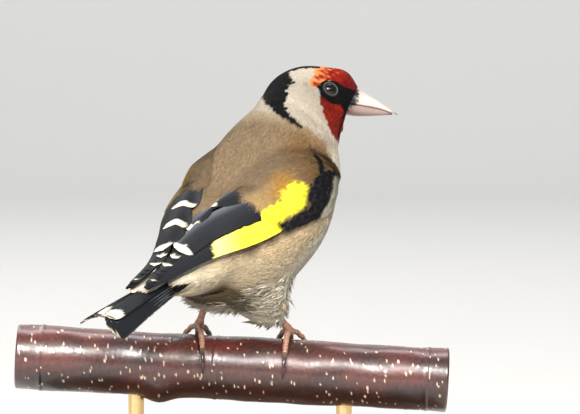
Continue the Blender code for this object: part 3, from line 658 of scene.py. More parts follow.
def wing_markings(p, t, c):
    """The colour of a wing's soft feathers: brown scapulars, buff beside the yellow coverts,
    black at the bend flecked with a painted grey sheen, by the outlines over shares of length t
    and breadth c."""
    fine = ripple(p, 1.3, 11)
    jag = 0.5 * fine + 0.35 * ripple(p, 0.6, 12)
    x, y = t * WING_SIZE[0], c * WING_SIZE[1]
    yellow = from_outline(x, y, np.array(WING_YELLOW) * WING_SIZE) + jag
    black = from_outline(x, y, np.array(WING_BLACK) * WING_SIZE) + jag * 0.8
    colour = back_brown(p)
    beside = ease(6.5, 0.5, yellow) * ease(0.26, 0.34, t) * ease(0.62, 0.5, c)
    colour = mix(colour, BUFF, 0.85 * beside)
    colour = mix(colour, COVERT_TAN, 0.6 * ease(0.36, 0.46, t) * ease(0.1, 0.3, c))
    colour = mix(colour, YELLOW, ease(0.6, -0.6, yellow))
    # The black of the bend, flecked with a painted grey sheen.
    dark = mix(BLACK, PAINTED_SHEEN_GREY, 0.06 + 0.22 * ease(0.2, 1.2, fine + 0.6 * ripple(p, 0.5, 13)))
    colour = mix(colour, dark, ease(0.35, -0.35, black))
    front = t - np.interp(c, WING_FRONT_AT, WING_FRONT) + 0.010 * jag
    colour = mix(colour, WHITE * 0.9, ease(0.014, -0.014, front) * ease(0.15, 0.4, c))
    streak = np.abs(t - 0.158 - 0.03 * c) * WING_SIZE[0] - 0.35 - 1.1 * ease(-0.3, 0.35, c)
    streak = ease(0.3, -0.3, streak + jag * 0.9)
    return mix(colour, dark, streak * ease(-0.42, -0.3, c) * ease(0.7, 0.5, c))


# A barb is a closed thin kite with its points at the root, the two sides and the tip.
BARB_FACES = np.array([(0, 2, 1), (1, 2, 3), (0, 1, 3), (0, 3, 2)])
# Painted shade along each barb: darker at its root deep in the coat, a little lighter at its tip in the
# open.
BARB_PAINTED_SHADE = np.array([0.68, 0.98, 0.98, 1.08])
ROOT_SINK = 0.9                # how deep the root lies in the coat, as a share of its depth
MIDDLE_AT = 0.45               # the sides' place along the barb
PATCH = 0.003                  # how far a tuft spreads on its own map


def scatter(surface, tufts, rng):
    """Rows and columns of tufts, spread evenly by their number a square mm."""
    weight = np.clip(tufts, 0, None) * surface.area
    running = np.cumsum(weight.ravel())
    count = int(running[-1])
    marks = (np.arange(count) + rng.random(count)) * (running[-1] / count)
    cell = np.minimum(np.searchsorted(running, marks), weight.size - 1)
    row = np.clip(cell // surface.columns + rng.random(count) - 0.5, 0.0, surface.rows - 1.01)
    column = cell % surface.columns + rng.random(count) - 0.5
    if not surface.closed:
        column = np.clip(column, 0.0, surface.columns - 1.01)
    return row, column


def tuft_map(surface, rows, row, column, place):
    """A small patch of the map for each tuft where it grows, its barbs side by side in it."""
    u = np.mod(column, surface.columns) / surface.columns
    if not surface.closed:
        u = column / (surface.columns - 1)
    v = (row - rows[0]) / (rows[1] - rows[0])
    v = v[:, None, None] + place[:, None] * PATCH / 2.6 + np.array([0, -1, 1, 0]) * PATCH / 14
    u = np.broadcast_to(u[:, None, None] + np.array([-1, 0, 0, 1]) * PATCH / 2, v.shape)
    return np.stack([u, v], -1).reshape(-1, 2) * 0.99 + 0.005


def coat(name, surface, tufts, length, width, depth, colours_at, seed, rows, lift=0.1,
         splay=4.0, barbs=6, contrast=0.16, loose=0.03, slant=0.0):
    """A piece of the coat: tufts of barbs, each of which rises from the skin to its middle and
    then lies along the surface. Tufts a square mm, length, half width and depth are grids over
    the surface, rows the first and last row it covers. A barb's line is its root moved s mm
    along the lie and sideways by its place in the tuft plus s times the tangent of its splay
    and slant. Its middle is kept a tenth of the depth above the straight line from root to
    tip. It is shaded with the surface's own outward direction, tipped a little."""
    rng = np.random.default_rng(seed)
    row, column = scatter(surface, tufts, rng)
    count = len(row)
    reach = surface.read(length, row, column) * rng.uniform(0.8, 1.2, count)
    half = surface.read(width, row, column) * rng.uniform(0.85, 1.2, count)
    deep = surface.read(depth, row, column)[:, None]
    row_mm = surface.read(surface.row_mm, row, column)[:, None]
    column_mm = surface.read(surface.column_mm, row, column)[:, None]
    turn = rng.normal(0.0, splay * 0.35, count)[:, None]
    place = np.linspace(-1, 1, barbs)
    sideways = place * half[:, None] * barbs * 0.75
    turn = turn + splay * place + rng.normal(0, splay * 0.3, (count, barbs)) + slant
    own = reach[:, None] * (1 - 0.2 * place ** 2) * rng.uniform(0.8, 1.12, (count, barbs))
    raised = deep * (rng.normal(0.0, loose, (count, 1)) + rng.normal(0.0, loose, (count, barbs)))
    middle_sink = min(0.16, ROOT_SINK - MIDDLE_AT * (ROOT_SINK + lift) - 0.12)
    stations = []
    for share, sink in ((0.0, ROOT_SINK), (MIDDLE_AT, middle_sink), (1.0, -lift)):
        s = own * share
        r = row[:, None] + surface.lie * s / row_mm
        across = sideways * (0.6 + 0.4 * share) + s * np.tan(np.radians(turn))
        c = column[:, None] + across / column_mm
        stations.append(surface.at(r, c, raised * share - deep * sink) + (r, c))
    (p0, _, _, _), (p1, n1, r1, c1), (p2, _, _, _) = stations
    above = ((p1 - p0 * (1 - MIDDLE_AT) - p2 * MIDDLE_AT) * n1).sum(-1)
    p1 = p1 + n1 * np.maximum(0.10 * deep - above, 0.0)[..., None]
    ahead = unit(p2 - p0)
    across = unit(np.cross(ahead, n1))
    w = half[:, None, None] * rng.uniform(0.75, 1.2, (count, barbs, 1))
    total = count * barbs
    verts = np.stack([p0, p1 - across * w, p1 + across * w, p2], 2).reshape(total * 4, 3)
    faces = (np.arange(total)[:, None, None] * 4 + BARB_FACES).reshape(-1, 3)
    tipped = n1 + across * rng.normal(0, 0.26, (count, barbs, 1))
    tipped = unit(tipped + ahead * rng.normal(-0.05, 0.12, (count, barbs, 1)))
    normals = world_way(np.repeat(tipped.reshape(total, 3), 4, 0))
    seen = (p1 * 0.45 + p2 * 0.55).reshape(-1, 3)
    base = colours_at(seen, r1.ravel(), c1.ravel()).reshape(count, barbs, 3)
    tint = 1 + rng.normal(0, contrast * 0.35, (count, 1, 1))
    tint = tint + rng.normal(0, contrast, (count, barbs, 1))
    warm = 1 + rng.normal(0, 0.04, (count, 1, 1)) * np.array([0.4, -0.4, -1.0])
    base = (base * np.clip(tint, 0.35, 1.65) * warm)[:, :, None, :]
    colours = np.clip(base * BARB_PAINTED_SHADE[:, None], 0, 0.98).reshape(-1, 3)
    maps = {"OFBake": tuft_map(surface, rows, row, column, place)}
    piece(name, to_world(verts), [faces], PLUMAGE, (), colours, maps, normals)


# Materials.
def set_inputs(target, **values):
    """Sets inputs of a node by their names in small letters, with _ for a space."""
    first = list(target.inputs)[::-1]
    named = {entry.name.lower().replace(" ", "_"): entry for entry in first}
    for key, value in values.items():
        named[key].default_value = value


def new_finish(name, **values):
    made = bpy.data.materials.new(name)
    made.use_nodes = True
    shader = made.node_tree.nodes["Principled BSDF"]
    set_inputs(shader, **values)
    return made, made.node_tree, shader


def node(tree, kind, place, settings=(), **values):
    made = tree.nodes.new(kind)
    made.location = place
    for key, value in dict(settings).items():
        setattr(made, key, value)
    set_inputs(made, **values)
    return made


def wire(tree, *joins):
    """Links from one node's output to another's input, each told by name or number."""
    for source, output, target, entry in joins:
        tree.links.new(source.outputs[output], target.inputs[entry])


def group(name, inputs, outputs):
    tree = bpy.data.node_groups.new(name, "ShaderNodeTree")
    for label, kind, value in inputs:
        socket = tree.interface.new_socket(label, in_out="INPUT", socket_type=kind)
        socket.default_value = value
    for label, kind in outputs:
        tree.interface.new_socket(label, in_out="OUTPUT", socket_type=kind)
    return tree, tree.nodes.new("NodeGroupInput"), tree.nodes.new("NodeGroupOutput")


def fine_mottle():
    """Varies a colour and makes a height from one noise, so that tint and relief agree."""
    tree, given, result = group(
        "fine_mottle",
        [("Colour", "NodeSocketColor", (0.5, 0.5, 0.5, 1)),
         ("Coordinate", "NodeSocketVector", (0, 0, 0)),
         ("Scale", "NodeSocketFloat", 500.0), ("Amount", "NodeSocketFloat", 0.2)],
        [("Colour", "NodeSocketColor"), ("Height", "NodeSocketFloat")])
    noise = node(tree, "ShaderNodeTexNoise", (-300, 0), detail=4.0, roughness=0.6)
    spread = node(tree, "ShaderNodeMapRange", (-100, 0), from_min=0.25, from_max=0.75, to_min=-1.0)
    amount = node(tree, "ShaderNodeMath", (60, 0), {"operation": "MULTIPLY_ADD"})
    amount.inputs[2].default_value = 1.0
    tinted = node(tree, "ShaderNodeVectorMath", (220, 0), {"operation": "SCALE"})
    wire(tree, (given, "Coordinate", noise, "Vector"), (given, "Scale", noise, "Scale"),
         (noise, "Fac", spread, "Value"), (spread, "Result", amount, 0),
         (given, "Amount", amount, 1), (given, "Colour", tinted, 0), (amount, 0, tinted, "Scale"),
         (tinted, 0, result, "Colour"), (noise, "Fac", result, "Height"))
    return tree


MOTTLE = fine_mottle()


def add_mottle(tree, shader, where, output, scale, amount):
    """The markings with a fine unevenness as the colour, from the given coordinates."""
    markings = node(tree, "ShaderNodeAttribute", (-1000, 100), {"attribute_name": "markings"})
    mottle = tree.nodes.new("ShaderNodeGroup")
    mottle.node_tree = MOTTLE
    mottle.location = (-600, 100)
    set_inputs(mottle, scale=scale, amount=amount)
    wire(tree, (markings, "Color", mottle, "Colour"), (where, output, mottle, "Coordinate"),
         (mottle, "Colour", shader, "Base Color"))
    return mottle


def add_bump(tree, shader, source, output, strength, distance):
    bump = node(tree, "ShaderNodeBump", (-200, -300), strength=strength, distance=distance)
    wire(tree, (source, output, bump, "Height"), (bump, "Normal", shader, "Normal"))


def stretched(tree, kind, output, scale, settings=()):
    """Coordinates of one kind, scaled along each axis."""
    where = node(tree, kind, (-1400, -150), settings)
    aim = node(tree, "ShaderNodeMapping", (-1200, -150), scale=scale)
    wire(tree, (where, output, aim, "Vector"))
    return aim


def painted_finish(name, roughness, scale, amount, bump=0.0, **values):
    """The piece's markings with a fine unevenness, and a relief from the same noise."""
    made, tree, shader = new_finish(name, roughness=roughness, **values)
    where = node(tree, "ShaderNodeTexCoord", (-800, -150))
    mottle = add_mottle(tree, shader, where, "Object", scale, amount)
    if bump:
        add_bump(tree, shader, mottle, "Height", 0.6, bump)
    return made


def vane_finish():
    """Flight feathers: the markings crossed by fine slanting barbs that follow the vane's own
    map, with a satin gloss."""
    made, tree, shader = new_finish("flight_feather", roughness=0.5, specular_ior_level=0.09)
    own = stretched(tree, "ShaderNodeUVMap", "UV", (0.35, 5.0, 1.0), {"uv_map": "vane"})
    mottle = add_mottle(tree, shader, own, "Vector", 1.2, 0.35)
    add_bump(tree, shader, mottle, "Height", 0.5, 0.00006)
    return made


def eye_finish():
    """A wet dark eye: its markings under a clear coat."""
    made, tree, shader = new_finish("dark_eye", roughness=0.08, specular_ior_level=0.1,
                                    coat_weight=0.45, coat_roughness=0.02)
    markings = node(tree, "ShaderNodeAttribute", (-500, 100), {"attribute_name": "markings"})
    wire(tree, (markings, "Color", shader, "Base Color"))
    return made


def wood_finish():
    """Polished wood: rings read along one axis, between a dark and a light tone."""
    made, tree, shader = new_finish("stand_walnut", roughness=0.38, coat_weight=0.35,
                                    coat_roughness=0.15)
    aim = stretched(tree, "ShaderNodeTexCoord", "Object", (1.0, 9.0, 9.0))
    warp = node(tree, "ShaderNodeTexNoise", (-700, -200), scale=60.0, detail=6.0)
    ramp = node(tree, "ShaderNodeValToRGB", (-450, 0))
    tones = ((0.35, (0.055, 0.026, 0.014, 1)), (0.68, (0.17, 0.085, 0.042, 1)))
    for stop, (position, tone) in zip(ramp.color_ramp.elements, tones):
        stop.position = position
        stop.color = tone
    wire(tree, (aim, "Vector", warp, "Vector"), (warp, "Fac", ramp, "Fac"),
         (ramp, "Color", shader, "Base Color"))
    add_bump(tree, shader, warp, "Fac", 0.25, 0.00008)
    return made


def brass_finish():
    """Brass brushed along its length: the noise varies its gloss and its relief."""
    made, tree, shader = new_finish("brushed_brass", base_color=(0.78, 0.57, 0.27, 1.0),
                                    roughness=0.3, metallic=1.0)
    aim = stretched(tree, "ShaderNodeTexCoord", "Object", (1.0, 1.0, 30.0))
    brush = node(tree, "ShaderNodeTexNoise", (-500, 0), scale=120.0, detail=3.0)
    gloss = node(tree, "ShaderNodeMapRange", (-300, 0), to_min=0.22, to_max=0.42)
    wire(tree, (aim, "Vector", brush, "Vector"), (brush, "Fac", gloss, "Value"),
         (gloss, "Result", shader, "Roughness"))
    add_bump(tree, shader, brush, "Fac", 0.15, 0.00003)
    return made


PLUMAGE = painted_finish("soft_plumage", 0.72, 1400.0, 0.12, specular_ior_level=0.07,
                         sheen_weight=0.02)
VANES = vane_finish()
HORN = painted_finish("bill_horn", 0.32, 900.0, 0.06, 0.00005, coat_weight=0.25,
                      coat_roughness=0.12)
LEG_SKIN = painted_finish("leg_scales", 0.48, 1600.0, 0.22, 0.00006)
CLAW_HORN = painted_finish("claw_horn", 0.25, 900.0, 0.12, 0.00002, coat_weight=0.5,
                           coat_roughness=0.12)
LID_SKIN = painted_finish("eyelid_skin", 0.55, 2600.0, 0.3, 0.00006)
BARK = painted_finish("cherry_bark", 0.36, 900.0, 0.45, 0.00002, coat_weight=1.0,
                      coat_roughness=0.24)
CUT_WOOD = painted_finish("cut_cherry_wood", 0.7, 700.0, 0.25, 0.00005, specular_ior_level=0.3)
EYE = eye_finish()
STAND_WOOD = wood_finish()
BRASS = brass_finish()


# The body's surface, its coat's depth and where its feathers grow.
BODY = body_surface()
ROW_SHARES = np.concatenate([np.linspace(-0.16, 0.0, TAIL_ROWS, endpoint=False), BODY_SHARES])
SHARE_GRID = np.broadcast_to(ROW_SHARES[:, None], BODY.places.shape[:2])
ANGLE_GRID = np.broadcast_to(BODY_ANGLES[None, :], BODY.places.shape[:2])
# At each share of the spine: a tuft's length, half width and depth in mm, tufts a square mm.
COAT_TABLE = np.array([
    (0.0, 5.0, 0.095, 0.9, 3.4), (0.1, 5.0, 0.095, 1.2, 3.4), (0.25, 5.0, 0.09, 1.3, 3.7),
    (0.45, 4.4, 0.088, 1.2, 4.4), (0.62, 3.8, 0.082, 1.1, 5.2), (0.70, 3.2, 0.075, 1.0, 6.4),
    (0.78, 2.3, 0.06, 0.8, 9.6), (0.85, 1.8, 0.052, 0.7, 14.5), (0.92, 1.4, 0.045, 0.55, 21.0),
    (0.96, 1.05, 0.04, 0.42, 27.0), (1.0, 0.75, 0.036, 0.3, 30.0)])
COAT_LENGTH, COAT_WIDTH, COAT_DEPTH, COAT_TUFTS = (
    np.interp(SHARE_GRID, COAT_TABLE[:, 0], values) for values in COAT_TABLE.T[1:])
RIGHT_WING = wing_surface(-1)
LEFT_WING = wing_surface(1)


def near_body(samples, gap):
    """Which places of the body lie nearer than the gap to any of the samples."""
    near = np.zeros(BODY.places.shape[:2], bool)
    for start in range(TAIL_ROWS, BODY.rows, 30):
        block = BODY.places[start:start + 30, :, None]
        parts = np.array_split(samples.reshape(-1, 3), 8)
        apart = [np.linalg.norm(block - part, axis=-1).min(-1) for part in parts]
        near[start:start + 30] = np.min(apart, axis=0) < gap
    return near


# The body's coat is left out under the wings and under the near wing's ends on the back.
UNDER_WING = (WING_ACROSS > 0.2) & (WING_ACROSS < 0.86)
OVER_BACK = (WING_ACROSS > -0.28) & (WING_ACROSS < 0.2)
HIDDEN = (near_body(RIGHT_WING.places[12:140:4][:, UNDER_WING][:, ::3], 2.6)
          | near_body(LEFT_WING.places[12:140:4][:, UNDER_WING][:, ::3], 2.6)
          | near_body(RIGHT_WING.places[80:116:3][:, OVER_BACK][:, ::2], 1.5))
EYE_RADIUS = 2.35
EYE_SHOWS = 0.75               # how far the ball stands out of the feathers
EYE_PLACE = (5.1, 3.85)        # forward and up of the head's middle


def eye_axis(side):
    """An eye's centre and the way it looks, square to the feathers' surface."""
    reach = np.linspace(2.0, 9.0, 400)
    line = np.stack([on_head(EYE_PLACE[0], side * r, EYE_PLACE[1]) for r in reach])
    place = line[signed_distance(line) < 0][-1]
    look = unit(outward(place) + 0.35 * side * HEAD_FRAME[1])
    return place + look * (EYE_SHOWS - EYE_RADIUS), look


EYES = {"left": eye_axis(1), "right": eye_axis(-1)}


def from_eyes(p):
    """Distance from the nearer eye's axis, and 20 mm more away from the eye itself."""
    gaps = []
    for centre, look in EYES.values():
        q = p - centre
        away = np.linalg.norm(q - (q @ look)[..., None] * look, axis=-1)
        gaps.append(away + 20 * (np.linalg.norm(q, axis=-1) > 6))
    return np.minimum(*gaps)


def make_skin():
    """One closed skin under the coat, 0.85 of the coat's depth below its outside."""
    rows = slice(TAIL_ROWS - 2, None, 2)
    places = (BODY.places - BODY.out * COAT_DEPTH[..., None] * 0.85)[rows, ::2]
    colours = body_markings(BODY.places[rows, ::2].reshape(-1, 3), ANGLE_GRID[rows, ::2].ravel(),
                            SHARE_GRID[rows, ::2].ravel()) * 0.8
    verts, faces = closed_tube(places)
    colours = np.concatenate([colours, colours[:1], colours[-1:]])
    piece("skin", to_world(verts), faces, PLUMAGE, ("head", "neck", "trunk"), colours)


def rows_between(start, end):
    rows = np.nonzero((ROW_SHARES >= start) & (ROW_SHARES < end))[0]
    return rows[0], rows[-1]


def body_colours(p, row, column):
    share = np.interp(row, np.arange(len(ROW_SHARES)), ROW_SHARES)
    return body_markings(p, column * (2 * math.pi / BODY_COLUMNS), share)


def make_coat():
    """The coat in pieces by shares of the spine, with a bare round for each eye's lids."""
    eyes = from_eyes(BODY.places), from_eyes(BODY.places - HEAD_FRAME[0] * 0.7)
    clear = ease(1.9, 2.15, eyes[0]) * ease(2.0, 2.3, eyes[1])
    belly = ease(115, 150, from_back(ANGLE_GRID)) * ease(0.45, 0.3, SHARE_GRID)
    parts = (("rump", -0.035, 0.22, 0.16), ("lower_back", 0.22, 0.42, 0.17),
             ("mantle", 0.42, 0.60, 0.24), ("shoulders", 0.60, 0.70, 0.24),
             ("neck", 0.70, 0.79, 0.14), ("nape", 0.79, 0.855, 0.08),
             ("cheeks", 0.855, 0.91, 0.08), ("brow", 0.91, 0.955, 0.30),
             ("face", 0.955, 1.001, 0.38))
    for seed, (name, start, end, contrast) in enumerate(parts, 31):
        inside = (SHARE_GRID >= start) & (SHARE_GRID < end) & ~HIDDEN
        coat(f"coat_of_{name}", BODY, COAT_TUFTS * inside * clear, COAT_LENGTH * (1 + 0.5 * belly),
             COAT_WIDTH, COAT_DEPTH, body_colours, seed, rows_between(start, end),
             contrast=contrast)


def strand_colours(p, row, column):
    return mix(WHITE, CREAM, np.clip(0.4 + 0.5 * ripple(p, 3.0, 15), 0, 1))


def make_strands():
    """Long loose white strands of the belly and thighs, which stand off the coat at their tips."""
    low = ease(118, 132, from_back(ANGLE_GRID)) * ease(0.17, 0.23, SHARE_GRID)
    tufts = 1.1 * (low * ease(0.40, 0.30, SHARE_GRID))
    coat("belly_strands", BODY, tufts, np.full_like(low, 6.5), np.full_like(low, 0.05), COAT_DEPTH,
         strand_colours, 61, rows_between(0.09, 0.40), lift=0.9, splay=14.0,
         barbs=4, loose=0.35)


def make_wing_bed(name, wing):
    """The folded wing below its feathers: a slab that follows the wing's surface."""
    inside = np.nonzero((WING_ACROSS > 0.0) & (WING_ACROSS < 1.02))[0][::2]
    below = wing.out[::2, inside] * 0.6
    top = wing.places[::2, inside] - below
    t, c = np.meshgrid(WING_SHARES[::2], WING_ACROSS[inside], indexing="ij")
    colours = wing_markings(top.reshape(-1, 3), t.ravel(), c.ravel()) * 0.95
    colours = mix(colours, BLACK, ease(0.5, 0.53, t.ravel()))
    verts, faces = closed_slab(top, top - below)
    nodes = [f"wing_{name}_{part}" for part in ("coverts", "secondaries", "primaries")]
    piece(f"wing_bed_{name}", to_world(verts), faces, PLUMAGE, nodes,
          np.concatenate([colours, colours]))


def wing_colours(p, row, column):
    return wing_markings(p, np.interp(row, np.arange(WING_ROWS), WING_SHARES),
                         np.interp(column, np.arange(WING_COLUMNS), WING_ACROSS))


# Where the soft feathers of each wing end: shares of its breadth, then of its length.
COVERTS_END = {
    "right": ([-0.5, -0.36, -0.1, 0.1, 0.25, 0.45, 0.63, 0.72, 0.85, 1.0],
              [0.46, 0.47, 0.49, 0.49, 0.475, 0.46, 0.45, 0.44, 0.41, 0.38]),
    "left": ([-0.5, -0.35, -0.25, -0.02, 0.13, 0.35, 0.54, 0.72, 0.85, 1.0],
             [0.42, 0.43, 0.435, 0.47, 0.495, 0.485, 0.46, 0.44, 0.41, 0.38]),
}


def make_wing_coat(side, name, wing):
    """The wing's soft coverts and the scapulars that lie over the bases of its long feathers."""
    t, c = np.meshgrid(WING_SHARES, WING_ACROSS, indexing="ij")
    inside = (t < np.interp(c, *COVERTS_END[name])) & (c > -0.42) & (c < 1.0)
    length = np.interp(t, [0, 0.15, 0.3, 0.5], [2.6, 3.0, 3.6, 4.2])
    width = np.interp(t, [0, 0.2, 0.5], [0.065, 0.08, 0.09])
    depth = np.interp(t, [0, 0.1, 0.2], [0.5, 0.7, 0.8])
    coat(f"wing_coverts_{name}", wing, 7.0 * inside, length, width, depth, wing_colours,
         51 + side, (0, WING_ROWS - 1), lift=0.55, contrast=0.18, slant=15.0)


def vane(middle, ahead, out, halves, steps_across, camber, thick, serrate, rng):
    """A feather as a closed thin blade: at each station of its midline, straight across by w
    from -1 to 1 times the half width of that side, dropped by camber times the distance
    squared, with a ridge along the shaft; the underside lies below by the thickness times
    1 - 0.8 w^2."""
    across = unit(np.cross(ahead, out))
    w = np.linspace(-1, 1, steps_across)
    ragged = 1 + serrate * rng.normal(0, 1, (len(ahead), 1)) * np.abs(w)[None, :] ** 3
    offset = np.where(w < 0, halves[0][:, None], halves[1][:, None]) * w[None, :] * ragged
    shaft = 0.07 * np.exp(-(w / 0.09) ** 2) * np.linspace(1, 0.25, len(ahead))[:, None]
    rise = -camber * offset ** 2 + shaft
    top = middle[:, None] + across[:, None] * offset[..., None] + out[:, None] * rise[..., None]
    bottom = top - out[:, None] * (thick * (1 - 0.8 * w ** 2))[None, :, None]
    return top, bottom, offset


def vane_profile(s, length, half, tip):
    """Half width along a feather: it opens over its first fifth and closes as a round end."""
    opening = np.clip(s / (0.2 * length), 0, 1) ** 0.6 * 0.5 + 0.5
    closing = np.sqrt(np.clip(1 - np.clip((s - (length - tip)) / tip, 0, 1) ** 2, 0.0009, 1))
    return half * opening * closing


def upright_vane(middle, up, half, *shape):
    """A vane of even halves on a midline, its upper side as near to up as the midline lets it."""
    ahead = unit(np.gradient(middle, axis=0))
    out = unit(up - ahead * (ahead @ up)[:, None])
    return vane(middle, ahead, out, (half, half), *shape)


def draped(wing, row, column, level, middle, out, sheets):
    """Flat sheets laid on the wing's surface: a point's sideways way from the midline is
    written as shares of the surface's two tangents there, which move it over the grid, and
    its rise above the midline is added to the midline's level."""
    a = wing.read(np.gradient(wing.places, axis=0), row, column)[:, None]
    b = wing.read(np.gradient(wing.places, axis=1), row, column)[:, None]
    e, f, g = (a * a).sum(-1), (a * b).sum(-1), (b * b).sum(-1)
    laid = []
    for sheet in sheets:
        away = sheet - middle[:, None]
        rise = (away * out[:, None]).sum(-1)
        u, v = (away * a).sum(-1), (away * b).sum(-1)
        r = row[:, None] + (g * u - f * v) / (e * g - f * f)
        c = column[:, None] + (e * v - f * u) / (e * g - f * f)
        laid.append(wing.at(r, c, level[:, None] + rise)[0])
    return laid


class Feathers:
    """Flat feathers that make one piece, each with its colours and, on the map "vane", its
    barbs as slanting lines: sideways mm, and mm along less 1.2 times those."""

    def __init__(self):
        self.shapes, self.colours, self.maps = [], [], []

    def add(self, top, bottom, tone, offset, s, apart):
        self.shapes.append(closed_slab(top, bottom))
        self.colours += [np.broadcast_to(tone, top.shape).reshape(-1, 3)] * 2
        uv = np.stack([np.abs(offset), s[:, None] - 1.2 * np.abs(offset)], -1) + apart
        self.maps += [uv.reshape(-1, 2)] * 2

    def make(self, name, nodes=()):
        verts, faces = join(self.shapes)
        piece(name, to_world(verts), faces, VANES, nodes, np.concatenate(self.colours),
              {"vane": np.concatenate(self.maps)})


# Long feathers by their tips: share of length, of breadth, size of the white end, and for the
# secondaries the share of breadth at the base and the outer half width.
SECONDARIES = ((0.848, 0.14, 1.3, 0.64, 2.1), (0.890, 0.12, 1.25, 0.71, 2.4),
               (0.918, 0.30, 0.0, 0.77, 1.65), (0.938, 0.34, 0.0, 0.83, 1.6),
               (0.966, 0.42, 0.75, 0.88, 1.6), (0.984, 0.50, 0.0, 0.92, 1.5))


def flight_feathers(right):
    """The long feathers of a folded wing, the topmost first: kind, base and tip as shares of
    length and breadth, half widths towards the back and outward, height, size of the white end."""
    yield "tertial", (0.30, 0.10), (0.598, -0.08 if right else 0.05), 3.3 if right else 4.4, 3.1, 0.56, 2.2
    yield "tertial", (0.33, 0.34), (0.698, -0.30 if right else 0.10), 4.0, 3.3, 0.46, 2.2
    yield "tertial", (0.35, 0.58), (0.815, 0.20 if right else 0.05), 3.6, 3.6, 0.34, 2.3
    for k, (t, c, spot, base, outer) in enumerate(SECONDARIES):
        tip = (t, c if right else c - 0.22)
        yield "secondary", (0.36, base), tip, 1.9, outer, 0.17 - 0.07 * k, spot
    for k in range(5):
        tip = (0.978 + 0.006 * k, 0.50 + 0.09 * k - (0.0 if right else 0.3))
        base = (0.39 + 0.01 * k, 0.94 + 0.012 * k)
        yield "primary", base, tip, 1.7, 1.35 - 0.05 * k, -0.26 - 0.045 * k, 0.0


YELLOW_END = 0.700             # share of the wing's length where the yellow band ends
BASE_SINK = 0.7                # how deep the long feathers' bases lie under the coverts
LEFT_LOWER = 0.10              # how much lower the far wing's long feathers lie
EARLY = 5                      # this many of the topmost come out later from the coverts


def make_flight_feathers(side, name, wing):
    """Each long feather runs from base to tip over the wing's grid in a slight bow, rises out
    of the coverts to its height and is draped over the wing."""
    rng = np.random.default_rng(71 + side)
    feathers = Feathers()
    sigma = np.linspace(0, 1, 58)
    for number, (kind, base, tip, inner, outer, height, spot) in enumerate(flight_feathers(side < 0)):
        t = base[0] + (tip[0] - base[0]) * sigma
        bow = 0.045 if kind == "tertial" else 0.015
        c = base[1] + (tip[1] - base[1]) * sigma + bow * 4 * sigma * (1 - sigma)
        row = t * (WING_ROWS - 1)
        column = (c - WING_ACROSS[0]) / (WING_ACROSS[-1] - WING_ACROSS[0]) * (WING_COLUMNS - 1)
        out_by = ease(0.43, 0.52, t) if number < EARLY else ease(0.38, 0.47, t)
        level = (height - LEFT_LOWER * (side > 0) + BASE_SINK) * out_by - BASE_SINK
        middle, out = wing.at(row, column, level)
        s = np.concatenate([[0], np.cumsum(np.linalg.norm(np.diff(middle, axis=0), axis=1))])
        shape = vane_profile(s, s[-1], 1.0, min(2.8, outer * 1.2))
        halves = (shape * inner, shape * outer)[::side]
        ahead = unit(np.gradient(middle, axis=0))
        *sheets, offset = vane(middle, ahead, out, halves, 17, 0.012, 0.12, 0.02, rng)
        across = offset * side / np.where(offset * side > 0, outer, inner)
        top, bottom = draped(wing, row, column, level, middle, out, sheets)
        tone = flight_colour(kind, s[:, None], s[-1], across, t[:, None], spot, side < 0, rng)
        feathers.add(top, bottom, tone, offset, s, number * 7.3)
    feathers.make(f"flight_feathers_{name}")


def flight_colour(kind, s, length, across, t, spot, right, rng):
    """The colour over a flight feather, across from -1 at its inner edge to 1: black with slate,
    a white end, and yellow on the base of the secondaries and primaries up to a ragged line.
    The tertials have a painted grey sheen towards the inner edge, and their slate and sheen are
    stronger on the near right wing than on the far left one, as painted light and shade."""
    wave = 0.12 * np.sin(across * 7 + rng.uniform(0, 6))
    wave = wave + 0.08 * np.sin(across * 17 + rng.uniform(0, 6))
    if kind == "tertial":
        # Painted light and shade: the near right wing's tertials get more slate and painted sheen than the
        # far left wing's.
        slate = 0.35 + 0.5 * ease(0.7, -0.6, across)
        colour = mix(BLACK, SLATE, slate if right else slate * 0.45)
        painted_sheen = ease(-0.25, -0.95, across) * ease(0.25, 0.5, s / length)
        colour = mix(colour, PAINTED_SHEEN_GREY, (0.7 if right else 0.12) * painted_sheen)
    else:
        colour = mix(BLACK, SLATE, 0.8 * ease(0.55, 0.95, across))
        line = t - YELLOW_END + 0.02 * wave + rng.uniform(-0.010, 0.008)
        yellow = ease(0.006, -0.002, line)
        colour = mix(colour, YELLOW, yellow)
        colour = mix(colour, PALE_YELLOW, 0.7 * yellow * ease(-0.12, -0.01, line))
        colour = mix(colour, EDGE_BROWN, 0.7 * yellow * ease(0.84, 0.97, across))
    if spot == 0:
        return colour
    white = ease(spot + 0.12, spot - 0.12, length - s + wave + 0.25 * across ** 2 * spot)
    white = white * ease(0.95, 0.8, across)
    if not right:
        white = white * ease(-0.75, -0.6, across + 0.3 * wave)
    return mix(colour, VANE_WHITE, white)


# The tail.
def tail_place(s, c, drop=2.0):
    """A place on the tail's upper side s mm back from its root and at c from -1 (right) to 1:
    across by its half width, sagging by drop c^2, the whole rolled about its length."""
    share = s / TAIL_LENGTH
    across = (TAIL_HALF[0] + (TAIL_HALF[1] - TAIL_HALF[0]) * share) * c
    sag = -drop * c ** 2 * (0.4 + 0.6 * share)
    y = across * math.cos(TAIL_ROLL) - sag * math.sin(TAIL_ROLL)
    z = across * math.sin(TAIL_ROLL) + sag * math.cos(TAIL_ROLL)
    place = TAIL_TIP - TAIL_BACK * TAIL_LENGTH + TAIL_BACK * s[..., None]
    return place + SIDEWAYS * y[..., None] + TAIL_UP * z[..., None]


def tail_fork(c):
    """How much longer the tail is at c from its middle."""
    longer = 3.6 * min(c / 0.62, 1) ** 1.5
    return longer - 1.2 * max(0, min((c - 0.62) / 0.38, 1)) ** 2


